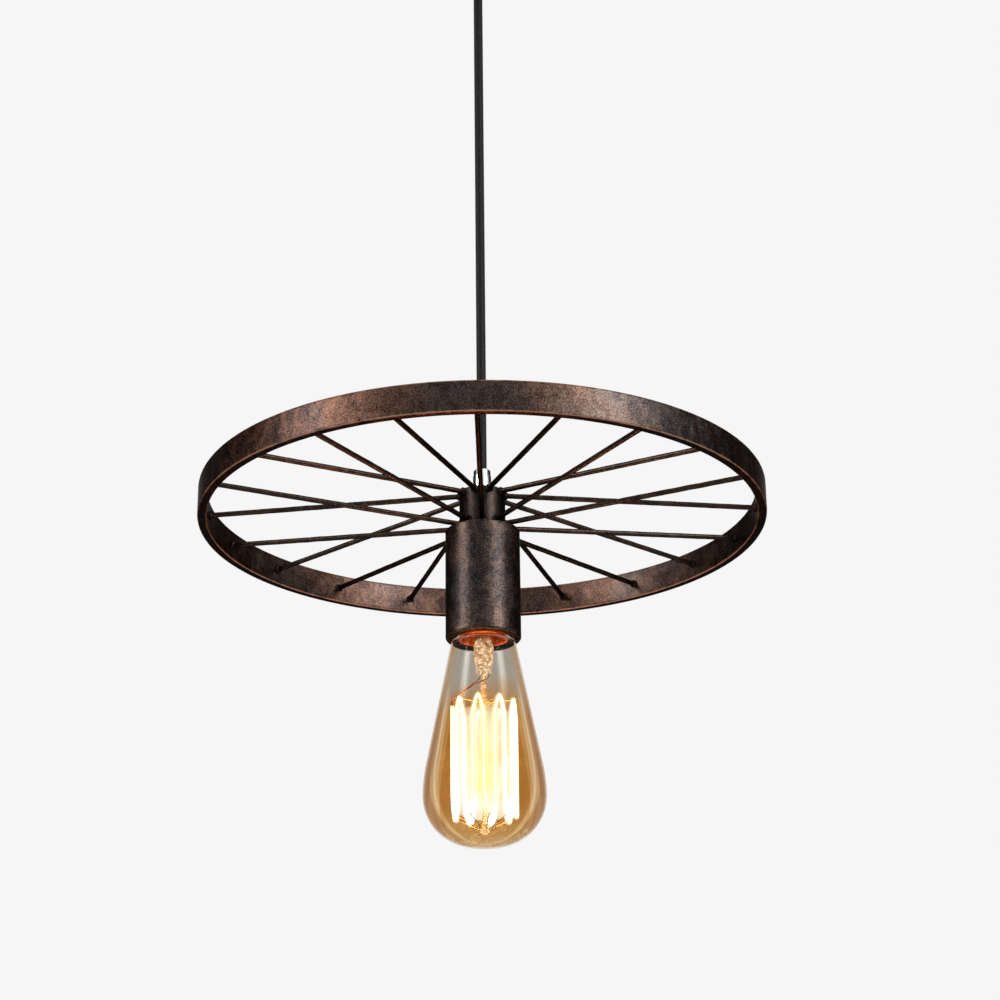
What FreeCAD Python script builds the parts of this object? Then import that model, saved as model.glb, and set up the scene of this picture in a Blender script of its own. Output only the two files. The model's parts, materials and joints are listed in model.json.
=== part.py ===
"""Pendant light: a black cord drops from a ceiling canopy to a spoked iron wheel, whose hub carries a
socket cup and a long squirrel-cage bulb.

The origin is the centre of the ceiling mounting plane, +Z points up into the ceiling, and the lamp
hangs below it. Lengths are in millimetres and angles in degrees.
"""
import FreeCAD, Part
import math
import os

# Wheel
wheel_diameter = 305.0
rim_thickness = 5.0
rim_height = 16.5
rim_edge_radius = 0.9
spoke_count = 20
spoke_diameter = 2.8
spoke_upper_height = 8.9
spoke_lower_depth = 8.5
weld_bead_radius = 2.3
weld_bead_height = 1.7
weld_bead_top_wall = 0.35
front_angle = -90.0

# Clearances: between pieces that stay put, between pieces that move, and the overrun of cuts
fixed_gap = 0.05
moving_gap = 0.3
overrun = 1.0
full_turn = 360.0

# Hub
hub_diameter = 24.8
hub_above_rim_centre = 10.7
hub_below_rim_centre = 11.6
hub_edge_radius = 0.4
hub_thread_depth = 8.0

# Cord, its sheath and its cores
cord_diameter = 5.2
cord_free_length = 328.5
sheath_clearance = 0.1
core_diameter = 1.7
core_circle_radius = 1.1
live_angle = 210.0
neutral_angle = 330.0
earth_angle = 90.0
bend_share = 0.45

# Grip on the hub
hub_grip_diameter = 9.8
hub_grip_length = 12.8
hub_grip_shank_diameter = 8.0
hub_grip_shank_length = 7.0
hub_grip_top_radius = 0.5
hub_grip_bottom_radius = 0.4
hub_grip_screw_height = 4.2
tilt_pivot_depth = 3.5
tilt_limit = 15.0
set_screw_diameter = 3.0
set_screw_slot_width = 0.6
set_screw_slot_depth = 0.8
set_screw_sink = 1.2
set_screw_stand = 0.9

# Bushes in the two grips
bush_height = 3.0
hub_bush_diameter = 7.2
canopy_bush_diameter = 9.2
bush_bore_clearance = 0.06

# Canopy and its grip
canopy_diameter = 100.0
canopy_height = 25.0
canopy_wall = 1.0
canopy_corner_radius = 9.0
canopy_rim_edge_radius = 0.33
canopy_grip_diameter = 16.0
canopy_grip_length = 17.0
canopy_grip_edge_radius = 1.2
canopy_grip_lip_radius = 0.4
canopy_grip_shank_diameter = 10.0
canopy_grip_shank_length = 8.0
canopy_grip_screw_height = 4.0
swing_pivot_depth = 4.0
swing_limit = 25.0
nut_width = 14.0
nut_height = 3.0
nut_side_count = 6
nut_chamfer = 0.5
cord_tail_above_shank = 2.0

# Bracket on the ceiling, and the screws through the canopy's wall
bracket_width = 16.0
bracket_thickness = 1.5
bracket_bend_radius = 0.8
bracket_ear_height = 11.0
bracket_ear_thickness = 1.2
bracket_ear_width = 12.0
bracket_ear_trim = 3.0
bracket_to_canopy_gap = 0.7
ceiling_slot_spacing = 70.0
ceiling_slot_width = 4.6
ceiling_slot_length = 11.0
side_screw_diameter = 4.0
side_screw_drop = 6.5
side_screw_head_diameter = 8.0
side_screw_head_length = 5.0
side_screw_reach = 4.0
side_screw_hole_clearance = 0.25
side_screw_head_edge = 0.8
side_screw_tip_edge = 0.5

# Terminal block under the bracket
block_poles = 2
block_pole_pitch = 8.0
block_depth = 17.0
block_height = 11.0
block_centre_x = -17.0
block_gap_width = 1.4
block_gap_depth = 5.0
tunnel_drop = 4.4
tunnel_diameter = 4.8
tunnel_bore_diameter = 3.2
tunnel_length = 14.0
block_screw_diameter = 2.6
block_screw_spacing = 8.4
block_screw_length = 4.0
block_screw_well_diameter = 3.2
earth_screw_x = 17.0
earth_screw_diameter = 4.0
earth_screw_sink = 0.2
earth_screw_head_diameter = 7.4
earth_screw_head_length = 2.6
earth_washer_thickness = 0.8
earth_washer_diameter = 9.0

# Routes of the cores in the canopy
core_first_run = 6.5
core_low_rise = 4.5
core_high_rise = 7.5
core_front_room = 6.0
core_side_step = 1.6
core_side_share = 0.4
core_end_share = 0.35
core_earth_run = 7.0
core_earth_share = 0.53

# Threaded tube, cup and nut
tube_diameter = 10.0
tube_bore_diameter = 7.6
tube_below_strap = 1.6
cord_end_below_tube = 1.9
tube_hole_clearance = 0.2
cup_diameter = 40.0
cup_length = 61.3
cup_wall = 1.4
cup_top_wall = 2.0
cup_top_radius = 1.0
cup_lip_radius = 1.5
cup_lip_inset = 0.7
cup_lip_height = 4.0

# Lampholder
lampholder_diameter = 34.4
lampholder_height = 37.0
lampholder_recess = 1.0
lampholder_face_radius = 0.8
lampholder_mouth_radius = 0.4
shell_depth = 28.4
shell_wall = 0.5
shell_recess = 0.5
shell_flange_thickness = 0.5
shell_flange_bore = 21.0
lampholder_bracket_width = 11.0
lampholder_bracket_span = 25.0
lampholder_bracket_thickness = 1.2
lampholder_bracket_height = 11.0
lampholder_bracket_foot = 3.0
lampholder_bracket_collar_height = 3.0
lampholder_bracket_collar_wall = 1.6
lampholder_screw_x = 10.0
lampholder_screw_diameter = 3.0
lampholder_screw_head_diameter = 6.0
lampholder_screw_head_length = 1.8
lampholder_screw_length = 6.0
contact_diameter = 9.0
contact_thickness = 0.5
contact_drop = 1.3
contact_stem_diameter = 3.0
contact_stem_height = 4.0
lamp_core_first_run = 2.4
lamp_core_share = 0.55

# Lamp cap and its screw thread
cap_height = 27.0
cap_thread_root_diameter = 24.3
cap_wall = 0.55
thread_pitch = 3.629
thread_height = 0.85
thread_half_width = 1.05
thread_side_gap = 0.3
thread_root_sink = 0.05
thread_turns = 4.0
cap_skirt_diameter = 26.1
cap_skirt_height = 2.2
cap_shoulder_drop = 6.0
cap_shoulder_bore = 15.0
cap_shoulder_round = 1.1
insulator_tip_diameter = 9.6
insulator_height = 3.6
insulator_wall = 2.0
tip_diameter = 9.0
tip_stem_diameter = 3.0
tip_height = 1.6
tip_edge_radius = 0.7

# Bulb glass
bulb_diameter = 64.0
bulb_length = 138.0
bulb_bottom_arc_radius = 55.0
bulb_side_arc_inset = 6.0
bulb_upper_arc_radius = 80.0
bulb_taper_angle = 11.3
bulb_shoulder_drop = 1.4
bulb_shoulder_round = 1.6
bulb_neck_diameter = 22.4
bulb_neck_length = 13.0
bulb_neck_round = 1.0
bulb_neck_to_glass_gap = 0.35
bulb_wall = 0.8

# Glass stem inside the bulb
stem_tube_diameter = 9.0
stem_flare_height = 7.0
stem_wall = 1.0
stem_press_width = 11.6
stem_press_depth = 4.6
stem_press_height = 15.0
stem_press_below_rim = 18.5
stem_press_round = 1.2
stem_rod_diameter = 3.2
stem_button_diameter = 5.4
stem_button_height = 3.4
stem_button_round = 1.4
stem_rod_past_button = 2.2

# Filament cage, its supports and its leads
strand_count = 18
cage_to_glass_gap = 5.4
cage_top_below_rim = 34.5
cage_bottom_below_rim = 96.0
cage_seam_angle = 180.0
filament_diameter = 0.5
support_diameter = 0.4
support_past_strand = 0.6
support_strand_gap = 0.15
lower_button_drop = 7.0
lead_diameter = 0.7
lead_foot_spacing = 4.6
lead_run_below_press = 3.0
lead_bend_height = 5.0

UP = FreeCAD.Vector(0, 0, 1)
RIGHT = FreeCAD.Vector(1, 0, 0)
ORIGIN = FreeCAD.Vector(0, 0, 0)

# Radii that several pieces share
rim_inner_radius = wheel_diameter / 2 - rim_thickness
hub_radius = hub_diameter / 2
cord_radius = cord_diameter / 2
core_radius = core_diameter / 2
sheath_bore_radius = cord_radius + sheath_clearance
hub_bush_radius = hub_bush_diameter / 2
canopy_bush_radius = canopy_bush_diameter / 2
thread_root_radius = cap_thread_root_diameter / 2
shell_root_radius = thread_root_radius + thread_height + moving_gap
strand_step = full_turn / strand_count
combined_swing = math.degrees(math.acos(math.cos(math.radians(swing_limit)) ** 2))


def bush_drop(bush_radius, tilt):
    """How far a tilted bush reaches below its pivot."""
    edge = math.sqrt(bush_radius ** 2 - (bush_height / 2) ** 2)
    return bush_height / 2 * math.cos(math.radians(tilt)) + edge * math.sin(math.radians(tilt))


# Levels, from the ceiling down
canopy_bottom = -canopy_height
side_screw_level = -side_screw_drop
block_top = -bracket_thickness - fixed_gap
tunnel_level = block_top - tunnel_drop
canopy_grip_shank_top = canopy_bottom + canopy_grip_shank_length
cord_tail_top = canopy_grip_shank_top + cord_tail_above_shank
canopy_grip_screw_level = canopy_bottom - canopy_grip_screw_height
canopy_grip_mouth = canopy_bottom - canopy_grip_length
swing_pivot = canopy_grip_mouth + swing_pivot_depth
swing_seat_top = swing_pivot + bush_drop(canopy_bush_radius, swing_limit) + moving_gap
hub_grip_top = canopy_grip_mouth - cord_free_length
tilt_pivot = hub_grip_top - tilt_pivot_depth
tilt_seat_bottom = tilt_pivot - bush_drop(hub_bush_radius, tilt_limit) - moving_gap
hub_top = hub_grip_top - hub_grip_length
hub_grip_screw_level = hub_top + hub_grip_screw_height
wheel_centre = hub_top - hub_above_rim_centre
hub_bottom = wheel_centre - hub_below_rim_centre
cup_bottom = hub_bottom - cup_length
cup_ceiling = hub_bottom - cup_top_wall
nut_bottom = cup_ceiling - nut_height
lampholder_face = cup_bottom + lampholder_recess
lampholder_top = lampholder_face + lampholder_height
shell_top = lampholder_face + shell_depth
lampholder_plate_top = lampholder_top + lampholder_bracket_height
lampholder_plate_bottom = lampholder_plate_top - lampholder_bracket_thickness
tube_bottom = lampholder_plate_bottom - tube_below_strap
cord_end_bottom = tube_bottom - cord_end_below_tube
contact_face = shell_top - contact_drop - contact_thickness
bulb_tip = contact_face - moving_gap
insulator_base = bulb_tip - insulator_height
cap_rim = bulb_tip - cap_height
cap_thread_low = cap_rim + cap_skirt_height + thread_half_width + thread_side_gap
bulb_bottom = bulb_tip - bulb_length
cage_top = cap_rim - cage_top_below_rim
cage_bottom = cap_rim - cage_bottom_below_rim
upper_support_level = cage_top - filament_diameter / 2 - support_diameter / 2 - fixed_gap
lower_support_level = cage_bottom + filament_diameter / 2 + support_diameter / 2 + support_strand_gap
lower_button_level = lower_support_level - lower_button_drop
rod_bottom = lower_button_level - stem_rod_past_button

# The bulb's outline: a flat arc below, a tighter one at the side, a long one above and then the taper
bulb_radius = bulb_diameter / 2
side_arc_radius = bulb_radius - bulb_side_arc_inset
bottom_arc_turn = math.asin(bulb_side_arc_inset / (bulb_bottom_arc_radius - side_arc_radius))
bottom_arc_level = bulb_bottom + bulb_bottom_arc_radius
widest_level = bottom_arc_level - (bulb_bottom_arc_radius - side_arc_radius) * math.cos(bottom_arc_turn)
taper_slope = math.tan(math.radians(bulb_taper_angle))

# Where the bracket's ears end, inside the canopy's round wall
bracket_half_length = math.sqrt(
    (canopy_diameter / 2 - canopy_wall) ** 2 - (bracket_ear_width / 2) ** 2
) - bracket_to_canopy_gap


def at(x, y, z):
    return FreeCAD.Vector(x, y, z)


def polar(radius, angle, z):
    """The point at that radius and angle from +X, at height z."""
    return at(radius * math.cos(math.radians(angle)), radius * math.sin(math.radians(angle)), z)


def taper_start(inset):
    """Where the taper of one face of the glass leaves the upper arc, as a radius and a level."""
    arc = polar(bulb_upper_arc_radius - inset, bulb_taper_angle, 0)
    return bulb_radius - bulb_upper_arc_radius + arc.x, widest_level + arc.y


def taper_radius(level, inset):
    """The radius of one face of the glass on its taper."""
    radius, start = taper_start(inset)
    return radius - taper_slope * (level - start)


# The cage stands clear of the glass both at its upper and at its lower end
glass_at_cage_bottom = bulb_side_arc_inset + math.sqrt(
    (side_arc_radius - bulb_wall) ** 2 - (cage_bottom - widest_level) ** 2
)
cage_room = min(taper_radius(cage_top, bulb_wall), glass_at_cage_bottom)
cage_radius = cage_room - filament_diameter / 2 - cage_to_glass_gap
hairpin_radius = cage_radius * math.sin(math.radians(strand_step / 2))


def rod(radius, low, high, x=0, y=0):
    """An upright cylinder."""
    return Part.makeCylinder(radius, high - low, at(x, y, low), UP)


def tube(outer, inner, low, high):
    """An upright tube round the Z axis."""
    return rod(outer, low, high).cut(rod(inner, low - overrun, high + overrun))


def block(x0, x1, y0, y1, z0, z1):
    """A box between two corners."""
    return Part.makeBox(x1 - x0, y1 - y0, z1 - z0, at(x0, y0, z0))


def pin(radius, start, end):
    """A cylinder from one point to another."""
    run = end - start
    return Part.makeCylinder(radius, run.Length, start, run)


def rounded(points, closed):
    """Edges through (x, z, corner radius) points in the XZ plane, with an arc at each rounded corner."""
    corners = [at(x, 0, z) for x, z, radius in points]
    ends = []
    arcs = []
    for i, (x, z, radius) in enumerate(points):
        first = last = corners[i]
        arc = None
        if radius and (closed or 0 < i < len(points) - 1):
            back = (corners[i - 1] - corners[i]).normalize()
            ahead = (corners[(i + 1) % len(points)] - corners[i]).normalize()
            half = back.getAngle(ahead) / 2
            first = corners[i] + back * (radius / math.tan(half))
            last = corners[i] + ahead * (radius / math.tan(half))
            middle = corners[i] + (back + ahead).normalize() * (radius / math.sin(half) - radius)
            arc = Part.Arc(first, middle, last).toShape()
        ends.append((first, last))
        arcs.append(arc)
    edges = []
    for i, arc in enumerate(arcs):
        if arc:
            edges.append(arc)
        if closed or i < len(points) - 1:
            edges.append(Part.LineSegment(ends[i][1], ends[(i + 1) % len(points)][0]).toShape())
    return edges


def outline(points):
    """A closed face in the XZ plane."""
    return Part.Face(Part.Wire(rounded(points, True)))


def spun(face):
    """A face in the XZ plane turned full round the Z axis."""
    shape = face.revolve(ORIGIN, UP, full_turn)
    if shape.Volume < 0:
        shape.reverse()
    return shape


def turned(points):
    """A closed outline of (radius, z, corner radius) points turned full round the Z axis."""
    return spun(outline(points))


def strip(points, width):
    """A closed outline in the XZ plane pressed out to a strip of that width, centred on Y = 0."""
    shape = outline(points).extrude(at(0, width, 0))
    shape.translate(at(0, -width / 2, 0))
    return shape


def route(points):
    """A path of straight runs and tangent arcs, each arc as large as its two runs allow."""
    edges = []
    radii = []
    last = points[0]
    for before, corner, after in zip(points, points[1:], points[2:]):
        back, ahead = before - corner, after - corner
        half = back.getAngle(ahead) / 2
        reach = bend_share * min(back.Length, ahead.Length)
        radius = reach * math.tan(half)
        back.normalize()
        ahead.normalize()
        first, next_last = corner + back * reach, corner + ahead * reach
        middle = corner + (back + ahead).normalize() * (radius / math.sin(half) - radius)
        edges.append(Part.LineSegment(last, first).toShape())
        edges.append(Part.Arc(first, middle, next_last).toShape())
        radii.append(radius)
        last = next_last
    edges.append(Part.LineSegment(last, points[-1]).toShape())
    return Part.Wire(edges), radii


def wire_along(path, radius):
    """A round wire swept along a path."""
    first = path.Edges[0]
    start = first.FirstParameter
    ring = Part.makeCircle(radius, first.valueAt(start), first.tangentAt(start))
    return path.makePipeShell([Part.Wire(ring)], True, False)


def core(name, points):
    """One insulated core along its route, whose bend radii are printed."""
    path, radii = route(points)
    print(name, "bend radii", [round(radius, 1) for radius in radii])
    return wire_along(path, core_radius)


def set_screw(radius, tip, outer):
    """A headless screw from its tip to its slotted outer end."""
    axis = (outer - tip).normalize()
    slot = block(
        -radius - overrun, radius + overrun,
        -set_screw_slot_width / 2, set_screw_slot_width / 2,
        -set_screw_slot_depth, overrun,
    )
    slot.Placement = FreeCAD.Placement(outer, FreeCAD.Rotation(UP, axis))
    return pin(radius, tip, outer).cut(slot)


def hexagon_nut(low, high, bore_radius):
    """A six-sided nut with its corners turned off."""
    corner_radius = nut_width / math.sqrt(3)
    corners = [polar(corner_radius, full_turn * i / nut_side_count, low) for i in range(nut_side_count + 1)]
    body = Part.Face(Part.makePolygon(corners)).extrude(UP * (high - low))
    turning = turned([
        (0, low, 0),
        (nut_width / 2, low, 0),
        (corner_radius, low + nut_chamfer, 0),
        (corner_radius, high - nut_chamfer, 0),
        (nut_width / 2, high, 0),
        (0, high, 0),
    ])
    return body.common(turning).cut(rod(bore_radius, low - overrun, high + overrun))


def screw_ridge(radius, outward, low):
    """The rolled thread's ridge on a cylinder: it stands outwards for 1 and inwards for -1."""
    helix = Part.makeHelix(thread_pitch, thread_pitch * thread_turns, radius)
    helix.translate(at(0, 0, low))
    foot = radius - outward * thread_root_sink
    bottom, top = at(foot, 0, low - thread_half_width), at(foot, 0, low + thread_half_width)
    crest = at(radius + outward * thread_height, 0, low)
    section = Part.Wire([Part.Arc(bottom, crest, top).toShape(), Part.LineSegment(top, bottom).toShape()])
    return Part.Wire(helix).makePipeShell([section], True, True)


def bush(radius, pivot):
    """A flat slice of a ball round the cord."""
    ball = Part.makeSphere(radius, at(0, 0, pivot))
    return ball.common(rod(radius + overrun, pivot - bush_height / 2, pivot + bush_height / 2))


# Ceiling set

def ceiling_bracket():
    """A flat strip bent down at both ends, with two slots for the ceiling screws."""
    x, t, low = bracket_half_length, bracket_ear_thickness, -bracket_ear_height
    shape = strip([
        (-x, 0, bracket_thickness),
        (x, 0, bracket_thickness),
        (x, low, 0),
        (x - t, low, 0),
        (x - t, -bracket_thickness, bracket_bend_radius),
        (t - x, -bracket_thickness, bracket_bend_radius),
        (t - x, low, 0),
        (-x, low, 0),
    ], bracket_width)
    for side in (-1, 1):
        edge = side * bracket_ear_width / 2
        y0, y1 = sorted((edge, edge + side * bracket_width))
        low_x, high_x = bracket_half_length - bracket_ear_trim, bracket_half_length + overrun
        shape = shape.cut(block(low_x, high_x, y0, y1, low - overrun, overrun))
        shape = shape.cut(block(-high_x, -low_x, y0, y1, low - overrun, overrun))
        centre, slot_radius = side * ceiling_slot_spacing / 2, ceiling_slot_width / 2
        half = ceiling_slot_length / 2 - slot_radius
        slot = block(
            centre - half, centre + half, -slot_radius, slot_radius, -bracket_thickness - overrun, overrun
        )
        for end in (centre - half, centre + half):
            slot = slot.fuse(rod(slot_radius, -bracket_thickness - overrun, overrun, end))
        shape = shape.cut(slot)
    across = pin(
        side_screw_diameter / 2 + fixed_gap,
        at(-bracket_half_length - overrun, 0, side_screw_level),
        at(bracket_half_length + overrun, 0, side_screw_level),
    )
    earth_hole = rod(
        earth_screw_diameter / 2 + fixed_gap, -bracket_thickness - overrun, overrun, earth_screw_x
    )
    return shape.cut(across).cut(earth_hole)


def canopy():
    """A shallow turned cover, open at the ceiling, with a hole for the grip and two for side screws."""
    outer, inner = canopy_diameter / 2, canopy_diameter / 2 - canopy_wall
    hole = canopy_grip_shank_diameter / 2 + tube_hole_clearance
    shape = turned([
        (hole, canopy_bottom, 0),
        (outer, canopy_bottom, canopy_corner_radius),
        (outer, 0, canopy_rim_edge_radius),
        (inner, 0, canopy_rim_edge_radius),
        (inner, canopy_bottom + canopy_wall, canopy_corner_radius - canopy_wall),
        (hole, canopy_bottom + canopy_wall, 0),
    ])
    across = pin(
        side_screw_diameter / 2 + side_screw_hole_clearance,
        at(-outer - overrun, 0, side_screw_level),
        at(outer + overrun, 0, side_screw_level),
    )
    return shape.cut(across)


def canopy_side_screws():
    """Two knobbed screws through the canopy's wall into the bracket's ears."""
    shank, head = side_screw_diameter / 2, side_screw_head_diameter / 2
    seat = canopy_diameter / 2 + fixed_gap
    screw = turned([
        (0, bracket_half_length - side_screw_reach, 0),
        (shank, bracket_half_length - side_screw_reach, side_screw_tip_edge),
        (shank, seat, 0),
        (head, seat, side_screw_head_edge),
        (head, seat + side_screw_head_length, side_screw_head_edge),
        (0, seat + side_screw_head_length, 0),
    ])
    screws = []
    for side in (-1, 1):
        turned_screw = screw.copy()
        turned_screw.Placement = FreeCAD.Placement(
            at(0, 0, side_screw_level), FreeCAD.Rotation(UP, RIGHT * side)
        )
        screws.append(turned_screw)
    return Part.makeCompound(screws)


def canopy_grip():
    """The gland under the canopy: a bell mouth below, a seat for the bush, and a shank with a nut."""
    outer, shank = canopy_grip_diameter / 2, canopy_grip_shank_diameter / 2
    seat = canopy_bush_radius + moving_gap
    lean = math.radians(combined_swing)
    mouth = swing_pivot_depth * math.tan(lean) + cord_radius / math.cos(lean) + moving_gap
    shape = turned([
        (sheath_bore_radius, canopy_grip_shank_top, 0),
        (sheath_bore_radius, swing_seat_top, 0),
        (seat, swing_seat_top, 0),
        (seat, swing_pivot, 0),
        (mouth, canopy_grip_mouth, canopy_grip_lip_radius),
        (outer, canopy_grip_mouth, canopy_grip_edge_radius),
        (outer, canopy_bottom - fixed_gap, canopy_grip_edge_radius),
        (shank, canopy_bottom - fixed_gap, 0),
        (shank, canopy_grip_shank_top, 0),
    ])
    hole = pin(
        set_screw_diameter / 2 + fixed_gap,
        at(0, 0, canopy_grip_screw_level),
        at(0, -outer - overrun, canopy_grip_screw_level),
    )
    return shape.cut(hole)


def canopy_grip_set_screw():
    return set_screw(
        set_screw_diameter / 2,
        at(0, -cord_radius - fixed_gap, canopy_grip_screw_level),
        at(0, -canopy_grip_diameter / 2 + set_screw_sink, canopy_grip_screw_level),
    )


def canopy_grip_nut():
    low = canopy_bottom + canopy_wall + fixed_gap
    return hexagon_nut(low, low + nut_height, canopy_grip_shank_diameter / 2 + fixed_gap)


def canopy_grip_bush():
    """The upper bush, flared so that the cord can lean in it while it leans in the gland."""
    lean = math.radians(swing_limit)
    throat = cord_radius / math.cos(lean) + moving_gap
    flare = throat + bush_height / 2 * math.tan(lean)
    bore = turned([
        (0, swing_pivot - bush_height / 2, 0),
        (flare, swing_pivot - bush_height / 2, 0),
        (throat, swing_pivot, 0),
        (throat, swing_pivot + bush_height, 0),
        (0, swing_pivot + bush_height, 0),
    ])
    return bush(canopy_bush_radius, swing_pivot).cut(bore)


def cord_tail():
    """The end of the cord above the swing, clamped in the gland, up to where its sheath is stripped."""
    return rod(cord_radius, swing_seat_top, cord_tail_top)


def pole_x(pole):
    return block_centre_x + (pole - (block_poles - 1) / 2) * block_pole_pitch


def terminal_block():
    """A connector block with a tunnel and two screw wells for each pole."""
    half = block_poles * block_pole_pitch / 2
    low = block_top - block_height
    shape = block(
        block_centre_x - half, block_centre_x + half, -block_depth / 2, block_depth / 2, low, block_top
    )
    for pole in range(block_poles):
        x = pole_x(pole)
        shape = shape.cut(pin(
            tunnel_diameter / 2 + fixed_gap, at(x, -block_depth / 2 - overrun, tunnel_level),
            at(x, block_depth / 2 + overrun, tunnel_level),
        ))
        for side in (-1, 1):
            y = side * block_screw_spacing / 2
            shape = shape.cut(rod(block_screw_well_diameter / 2, low - overrun, tunnel_level, x, y))
    for gap in range(block_poles - 1):
        x = pole_x(gap) + block_pole_pitch / 2
        shape = shape.cut(block(
            x - block_gap_width / 2, x + block_gap_width / 2,
            -block_depth / 2 - overrun, block_depth / 2 + overrun, low - overrun, low + block_gap_depth,
        ))
    return shape


def terminal_tunnels():
    """The metal tunnels that join the cord's cores to the supply's."""
    tunnels = []
    half = tunnel_length / 2
    for pole in range(block_poles):
        x = pole_x(pole)
        shape = pin(tunnel_diameter / 2, at(x, -half, tunnel_level), at(x, half, tunnel_level))
        shape = shape.cut(pin(
            tunnel_bore_diameter / 2,
            at(x, -half - overrun, tunnel_level),
            at(x, half + overrun, tunnel_level),
        ))
        for side in (-1, 1):
            y = side * block_screw_spacing / 2
            hole_radius = block_screw_diameter / 2 + fixed_gap
            shape = shape.cut(rod(hole_radius, tunnel_level - tunnel_diameter, tunnel_level, x, y))
        tunnels.append(shape)
    return Part.makeCompound(tunnels)


def terminal_block_screws():
    """The clamping screws, two to a tunnel, reached from below."""
    tip = tunnel_level - core_radius - fixed_gap
    return Part.makeCompound([
        set_screw(
            block_screw_diameter / 2,
            at(pole_x(pole), side * block_screw_spacing / 2, tip),
            at(pole_x(pole), side * block_screw_spacing / 2, tip - block_screw_length),
        )
        for pole in range(block_poles)
        for side in (-1, 1)
    ])


def earth_screw():
    """The bracket's earth screw, with its washer under the head."""
    x, shank = earth_screw_x, earth_screw_diameter / 2
    washer_top = -bracket_thickness - core_diameter - 2 * fixed_gap
    head_top = washer_top - earth_washer_thickness
    shape = rod(shank, head_top, -earth_screw_sink, x)
    shape = shape.fuse(rod(earth_washer_diameter / 2, head_top, washer_top, x))
    shape = shape.fuse(rod(earth_screw_head_diameter / 2, head_top - earth_screw_head_length, head_top, x))
    slot_half = earth_screw_head_diameter / 2 + overrun
    head_low = head_top - earth_screw_head_length
    return shape.cut(block(
        x - slot_half, x + slot_half, -set_screw_slot_width / 2, set_screw_slot_width / 2,
        head_low - overrun, head_low + set_screw_slot_depth,
    ))


def core_start(angle, z):
    """Where a core leaves the stripped sheath."""
    return polar(core_circle_radius, angle, z)


def canopy_cores():
    """The three cores from the stripped sheath to the block's tunnels and the earth screw."""
    start = cord_tail_top + fixed_gap
    shapes = {}
    for name, pole, angle, rise in (
        ("core_live", 0, live_angle, core_low_rise),
        ("core_neutral", 1, neutral_angle, core_high_rise),
    ):
        foot = core_start(angle, start)
        x = pole_x(pole)
        front = -block_depth / 2 - core_front_room
        shapes[name] = core(name, [
            foot,
            foot + UP * core_first_run,
            at(x * core_side_share, front - core_side_step * (1 - pole), start + rise),
            at(x, front, tunnel_level),
            at(x, -tunnel_length * core_end_share, tunnel_level),
        ])
    foot = core_start(earth_angle, start)
    beside = earth_screw_diameter / 2 + core_radius + moving_gap
    level = -bracket_thickness - core_radius - fixed_gap
    shapes["core_earth"] = core("core_earth", [
        foot,
        foot + UP * core_earth_run,
        at(earth_screw_x * core_earth_share, beside, level),
        at(earth_screw_x + earth_screw_diameter / 2, beside, level),
    ])
    return shapes


# Cord

def cord():
    """The hanging cord, straight and taut between its two pivots, round at both hidden ends."""
    print("cord length", round(swing_pivot - tilt_pivot, 1), "of which free", cord_free_length)
    shape = rod(cord_radius, tilt_pivot, swing_pivot)
    shape = shape.fuse(Part.makeSphere(cord_radius, at(0, 0, swing_pivot)))
    return shape.fuse(Part.makeSphere(cord_radius, at(0, 0, tilt_pivot))).removeSplitter()


def hub_grip_bush():
    """The lower bush, which turns on the cord and leans in the hub's grip."""
    bore = rod(cord_radius + bush_bore_clearance, tilt_pivot - bush_height, tilt_pivot + bush_height)
    return bush(hub_bush_radius, tilt_pivot).cut(bore)


def cord_end():
    """The end of the cord below the tilt, clamped in the hub's grip and stripped inside the cup."""
    return rod(cord_radius, cord_end_bottom, tilt_seat_bottom - fixed_gap)


# Wheel

def rim():
    """A flat iron bar rolled into a hoop, with its edges eased."""
    low, high = wheel_centre - rim_height / 2, wheel_centre + rim_height / 2
    return turned([
        (rim_inner_radius, low, rim_edge_radius),
        (wheel_diameter / 2, low, rim_edge_radius),
        (wheel_diameter / 2, high, rim_edge_radius),
        (rim_inner_radius, high, rim_edge_radius),
    ])


def spoke_ends(level):
    """The hub end and the rim end of a spoke that points along +X."""
    return at(hub_radius, 0, wheel_centre + level), at(rim_inner_radius, 0, wheel_centre)


def spoke_room():
    """The ring between the hub and the rim that the spokes and their welds fill."""
    return tube(rim_inner_radius - fixed_gap, hub_radius + fixed_gap, hub_bottom, hub_top)


def spoke(level):
    start, end = spoke_ends(level)
    along = (end - start).normalize() * spoke_diameter
    return pin(spoke_diameter / 2, start - along, end + along).common(spoke_room())


def weld_bead(foot, inwards):
    """A ring of weld round a spoke's end, on the hub or the rim."""
    top = spoke_diameter / 2 + weld_bead_top_wall
    base = pin(weld_bead_radius, foot - inwards * overrun, foot)
    cone = Part.makeCone(weld_bead_radius, top, weld_bead_height, foot, inwards)
    reach = inwards * (weld_bead_height + overrun)
    hole = pin(spoke_diameter / 2 + fixed_gap, foot - reach, foot + reach)
    return base.fuse(cone).cut(hole).common(spoke_room())


def wheel_spokes():
    """Each spoke as its own shape, the odd ones low on the hub and the even ones high, and all the welds."""
    spokes = {}
    beads = []
    plain = {level: spoke(level) for level in (-spoke_lower_depth, spoke_upper_height)}
    for number in range(spoke_count):
        level = spoke_upper_height if number % 2 else -spoke_lower_depth
        turn = front_angle + number * full_turn / spoke_count
        start, end = spoke_ends(level)
        along = (end - start).normalize()
        shapes = [plain[level].copy(), weld_bead(start, along), weld_bead(end, -along)]
        for shape in shapes:
            shape.rotate(ORIGIN, UP, turn)
        spokes["spoke_%02d" % (number + 1)] = shapes[0]
        beads += shapes[1:]
    return spokes, Part.makeCompound(beads)


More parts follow.
